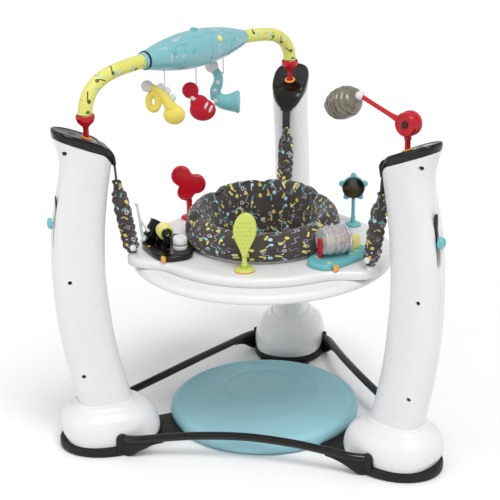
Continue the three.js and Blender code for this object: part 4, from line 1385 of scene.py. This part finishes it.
def make_drum_dish():
    """The black dish, with the two posts and the axle of its roller."""
    dish = station_plate(54, 82, -0.3)
    carve(dish, [ball("bowl", 40, (0, -4, 40), (1.0, 1.55, 0.86), 40)])
    parts = [dish]
    for y in (-42, 8):
        post = slab("post", oval_outline(9, 4.5, 3), 45, 2.5)
        parts.append(shift(post, 8, y, 8))
    parts.append(sweep("axle", [(8, -42, 48), (8, 8, 48)], 3, 16))
    give(at_drum(merge("drum_dish_visual", parts)), "tray", BLACK, "black_plastic", "drum_dish")


def make_barrel():
    """The small black drum that leans outward beside the roller."""
    profile = [(1, -2), (15.5, -2), (17.5, 0), (17.5, 4), (16.2, 5), (16.2, 20), (17.3, 21), (17.3, 25),
               (16.2, 26), (16.2, 38), (17.5, 39), (17.5, 42), (14, 43), (13, 36), (1, 36)]
    foot, top = Vector((34, -52, 22)), Vector((6, -66, 60))
    barrel = lathe("barrel", profile, 44)
    move(barrel, (top - foot).to_track_quat("Z", "X").to_matrix().to_4x4())
    give(at_drum(shift(barrel, *foot)), "tray", BLACK, "black_plastic")


def make_roller():
    profile = [(3.4, -37), (8, -37), (8.6, -31), (12, -27), (17, -24), (18.6, -20), (18.8, -15), (16, -12),
               (13.2, -9.5), (16, -7), (18.8, -4), (19, 4), (16.5, 9), (13, 12), (8, 15), (7, 20), (3.4, 20)]
    roller = turn(lathe("drum_roller_visual", profile, 52, "joined"), -90, "X")
    paint_bands(roller, 1, ((-37, -27, BLACK), (-27, -18, TEAL_PLASTIC), (-18, -11, PALE_YELLOW),
                            (-11, -8, WHITE), (-8, 9, PALE_YELLOW), (9, 13, LIME), (13, 21, BLACK)))
    give(at_drum(shift(roller, 8, 0, 48)), "drum_roller", None, "yellow_plastic", "drum_roller")


def make_snare():
    profile = [(1, 14.3), (16.2, 14.3), (17, 15.5), (17, 24), (16.4, 25.4), (16.4, 27.6), (17, 29), (17, 41),
               (16, 43.6), (14.2, 44.3), (13.2, 43), (1, 42.6)]
    snare = lathe("drum_snare_visual", profile, 52)
    give(at_drum(shift(snare, -18, 34)), "tray", WHITE, "white_plastic", "drum_snare")
    line = lathe("snare_line", [(16.1, 25.3), (16.9, 25.5), (16.9, 27.5), (16.1, 27.7)], 52, "joined")
    give(at_drum(shift(line, -18, 34)), "tray", DARK, "dark_plastic")


def make_drum_stick():
    """The white forked stick."""
    stem = through([(52, -42, 21), (55, -45, 42), (57, -47, 70), (60, -50, 92), (62, -52, 108)], 24)
    branch = through([(59, -48, 76), (54, -44, 66), (47, -38, 54), (40, -34, 42)], 16)
    stick = [sweep("stem", stem, lambda t: lerp(4.2, 3.0, t) + 1.6 * smooth_step(t, 0.9, 1), 20),
             sweep("branch", branch, lambda t: 3 + 2 * smooth_step(t, 0.8, 1), 18),
             ball("knuckle", 6.4, (52, -42, 20.8)), ball("tip", 4.8, (62, -52, 108))]
    stick = fuse("drum_stick_visual", stick, 0.9, 4)
    give(at_drum(stick), "drum_stick", WHITE, "white_plastic", "drum_stick")


def make_drum_station():
    make_drum_dish()
    make_barrel()
    make_roller()
    make_snare()
    make_drum_stick()


def paint_bands(piece, axis, bands):
    """Gives each stretch of a piece along an axis its own material."""
    piece.data.materials.clear()
    for _, _, material in bands:
        piece.data.materials.append(material)
    for face in piece.data.polygons:
        where = face.center[axis] / MM
        for i, (low, high, _) in enumerate(bands):
            if low <= where < high:
                face.material_index = i


def at_spinner(piece):
    return stand(piece, TOWERS["right"], STATION_RADIUS - 5, TRAY_Z + GAP)


def in_drum(piece):
    """Turns a piece of the drum askew on its plate and lifts it to the drum's axis."""
    return at_spinner(shift(turn(piece, -25), 0, -14, 53))


def make_spinner_base():
    """The teal plate and the drum's two end plates; the near one is red."""
    plate = station_plate(46, 86, 0.23)
    ends = []
    for y in (-34.5, 39.5):
        end = turn(slab("ear", oval_outline(9, 28, 3), 5, 2), 90, "X")
        ends.append(in_drum(shift(end, 0, y, -20)))
    near, far = ends
    near.name = "spinner_end_plate"
    give(near, "tray", RED, "red_plastic")
    base = merge("spinner_base_visual", [at_spinner(plate), far])
    give(base, "tray", TEAL_PLASTIC, "teal_plastic", "spinner_base")


def make_spinner_drum():
    """The ribbed clear drum, with its red end and its core."""
    skin, inside = [], []
    steps = 90
    for i in range(steps + 1):
        y = lerp(-33, 33, i / steps)
        size = 33 + 1.7 * math.cos(2 * math.pi * y / 16.5) - 5 * smooth_step(abs(y), 27, 33.5)
        skin.append((size, y))
        inside.append((size - 2.2, y * 0.95))
    outline = [(4, -33), *skin, (4, 33), (4, 31)] + list(reversed(inside)) + [(4, -31)]
    drum = turn(lathe("spinner_drum_visual", outline, 72, "joined"), -90, "X")
    give(in_drum(drum), "spinner_drum", CLEAR, "clear_plastic", "spinner_drum")
    end = [(4, 25), (20, 25), (26, 27), (27, 29.5), (4, 29.5)]
    cap = turn(lathe("spinner_end", end, 56, "joined"), -90, "X")
    give(in_drum(cap), "spinner_drum", RED, "red_plastic")
    spool = [(4, -29), (9, -29), (11, -10), (8, 0), (11, 10), (9, 24), (4, 24)]
    core = turn(lathe("spinner_core", spool, 40, "joined"), -90, "X")
    give(in_drum(core), "spinner_drum", PALE_YELLOW, "yellow_plastic")


def make_spinner_beads():
    beads = []
    spread = random.Random(4)
    for _ in range(14):
        angle, y = spread.uniform(0, 6.28), spread.uniform(-22, 20)
        beads.append(ball("bead", 3.2, (23 * math.cos(angle), y, 23 * math.sin(angle)), sides=14))
    give(in_drum(merge("spinner_beads", beads)), "spinner_drum", ORANGE, "clear_plastic")


def make_spinner_key():
    """The two-tone key at the end of the plate."""
    key = shift(slab("spinner_key_visual", oval_outline(17, 20, 3.2), 28, 3.5, 5), -2, 58, 11)
    paint_bands(key, 2, ((0, 22, LIME), (22, 45, PALE_YELLOW)))
    give(at_spinner(key), "spinner_key", None, "lime_plastic", "spinner_key")


def make_spinner_notes():
    """Raised yellow notes scattered on the plate, each a head and a tail."""
    marks = []
    for x, y, size in ((22, -62, 4.6), (-24, -48, 3.8), (26, 16, 4.2), (24, 40, 3.6), (-28, 22, 4.4)):
        head = shift(slab("note", oval_outline(size, size * 0.8, 2), 1.2, 0.4), x, y, 13.6)
        tail = sweep("tail", [(x + size * 0.8, y, 14.2), (x + size * 0.8, y + 11, 14.2)], 0.9, 8)
        marks += [head, tail]
    give(at_spinner(merge("spinner_notes", marks)), "tray", PALE_YELLOW, "yellow_plastic")


def make_spinner():
    make_spinner_base()
    make_spinner_drum()
    make_spinner_beads()
    make_spinner_key()
    make_spinner_notes()


def flange(radius, height):
    """Round foot that a tray toy turns on."""
    return lathe("flange", [(1, 0), (radius - 1, 0), (radius, 1.2), (radius, height * 0.45),
                            (radius - 2.5, height * 0.8), (radius * 0.5, height), (1, height)], 44)


def at_angle(angle, radius, facing):
    """A function that puts a toy on the tray there, turned to face this way."""
    def place(piece):
        return stand(turn(piece, facing), angle, radius, TRAY_Z + GAP)
    return place


def lobed_outline(lobes, centre, softness, steps=120):
    """Outline of overlapping round lobes (x, z, radius), with its inner corners softened."""
    sharp = []
    for angle in circle(steps):
        way = Vector((math.cos(angle), math.sin(angle)))
        reach = 0
        for x, z, size in lobes:
            arm = Vector((x - centre[0], z - centre[1]))
            along = arm.dot(way)
            gap = size**2 - (arm.length_squared - along**2)
            if gap > 0:
                reach = max(reach, along + math.sqrt(gap))
        sharp.append((centre[0] + way.x * reach, centre[1] + way.y * reach))
    outline = []
    for i in range(steps):
        near = [sharp[(i + k) % steps] for k in range(-softness, softness + 1)]
        outline.append((sum(p[0] for p in near) / len(near), sum(p[1] for p in near) / len(near)))
    return outline


def make_mirror():
    place = at_angle(32, 244, -24)
    lobes = [(0, 100, 28.5)]
    for i in range(5):
        turned = rad(90 + 72 * i)
        lobes.append((30 * math.cos(turned), 100 + 30 * math.sin(turned), 7.6))
    flower = standing(lobed_outline(lobes, (0, 100), 1), 11, 3.5)
    stalk = sweep("stalk", through([(0, 0, 4), (0, 2.5, 30), (0, 1, 52), (0, 0, 70)], 20),
                  lambda t: lerp(7, 4.6, smooth_step(t, 0, 0.4)), 24)
    whole = merge("mirror_flower_visual", [flower, stalk, flange(20, 8)])
    give(place(whole), "mirror", TEAL_PLASTIC, "teal_plastic", "mirror_flower")
    rim = lathe("rim", [(24.4, 0), (26.6, 0.4), (27.2, 2), (26, 3), (24.4, 2.2)], 56, "joined")
    glass = lathe("glass", [(1, 0), (25, 0), (25, 1), (1, 1.2)], 56)
    for piece, material in ((rim, DARK), (glass, MIRROR)):
        turn(piece, 90, "X")
        give(place(shift(piece, 0, -5.2, 100)), "mirror", material, "teal_plastic")


def make_maraca():
    place = at_angle(270, 222, 98)
    right = []
    for i in range(41):
        share = i / 40
        if share < 0.6:
            half = 5 + 22 * smooth_step(share, -0.05, 0.6)
        else:
            half = 27 * math.sqrt(max(1 - ((share - 0.6) / 0.4) ** 2, 0))
        right.append((half + 5 * share**2, 34 + 106 * share))
    left = [(10 * ((z - 34) / 106) ** 2 - x, z) for x, z in reversed(right[:-1])]
    leaf = standing(right + left, 16, 5)
    cuts = [ball("dimple", 3.4, (x, -9.6, z), sides=12)
            for row, z in enumerate(range(56, 126, 10)) for x in range(-18 + row % 2 * 5, 20, 10)
            if math.hypot(x / 25, (z - 88) / 46) < 0.8]
    cutter = merge("cutter", cuts)
    carve(leaf, [cutter])
    neck = lathe("neck", [(1, 2), (9, 2), (7, 10), (5.6, 24), (5.6, 40), (1, 42)], 28)
    give(place(merge("maraca_visual", [leaf, neck])), "maraca", LIME, "lime_plastic", "maraca")
    foot = flange(24, 8)
    paint_bands(foot, 2, ((-1, 3.4, ORANGE), (3.4, 20, LIME)))
    give(place(foot), "maraca", None, "lime_plastic")
    for z in (10.5, 15):
        ring = shift(lathe("ring", [(6, -1), (8.6, -0.6), (9, 0), (8.6, 0.6), (6, 1)], 28, "joined"), 0, 0, z)
        give(place(ring), "maraca", LIME, "lime_plastic")


def make_paddle():
    place = at_angle(150, 244, -142)
    lobes = [(-18, 113, 26), (19, 92, 25), (-8, 70, 22)]
    smooth = lobed_outline(lobes, (-2, 92), 3)
    board = standing(smooth, 18, 5)
    neck = lathe("neck", [(1, 2), (10, 2), (8, 10), (7, 30), (8, 50), (1, 54)], 28)
    whole = merge("paddle_visual", [board, neck, flange(22, 8)])
    give(place(whole), "paddle", RED, "red_plastic", "red_paddle")
    rim = [(-2 + (x + 2) * 0.86, -9.2, 92 + (z - 92) * 0.86) for x, z in smooth]
    give(place(sweep("paddle_rim", rim, 1.6, 10, ends="joined", up=(0, 1, 0))), "paddle", RED, "red_plastic")


def make_tabs():
    """Small orange catches beside the two toy stations."""
    for name, angle, radius in (("left_a", 208, 283), ("left_b", 225, 280), ("right", 317, 283)):
        tab = slab(f"tab_{name}", oval_outline(5, 7, 2.4), 15, 2.5, 4)
        give(stand(tab, angle, radius, TRAY_Z - 0.5), "tray", ORANGE, "red_plastic")


# ------------------------------------------------------------------ everything in order
add_camera()
for toy in PLUSH_TOYS:
    make_plush(toy)
add_studio()
for tower, direction in TOWERS.items():
    for make in (make_tower, make_cap, make_foot, make_strap, make_sleeve, make_spring, make_snap):
        make(tower, direction)
for make in (make_tubes, make_mat, make_tray, make_seat, make_arch, make_console, make_arm_stalk,
             make_arm_rod, make_rattle, make_drum_station, make_spinner, make_mirror, make_maraca,
             make_paddle, make_tabs):
    make()
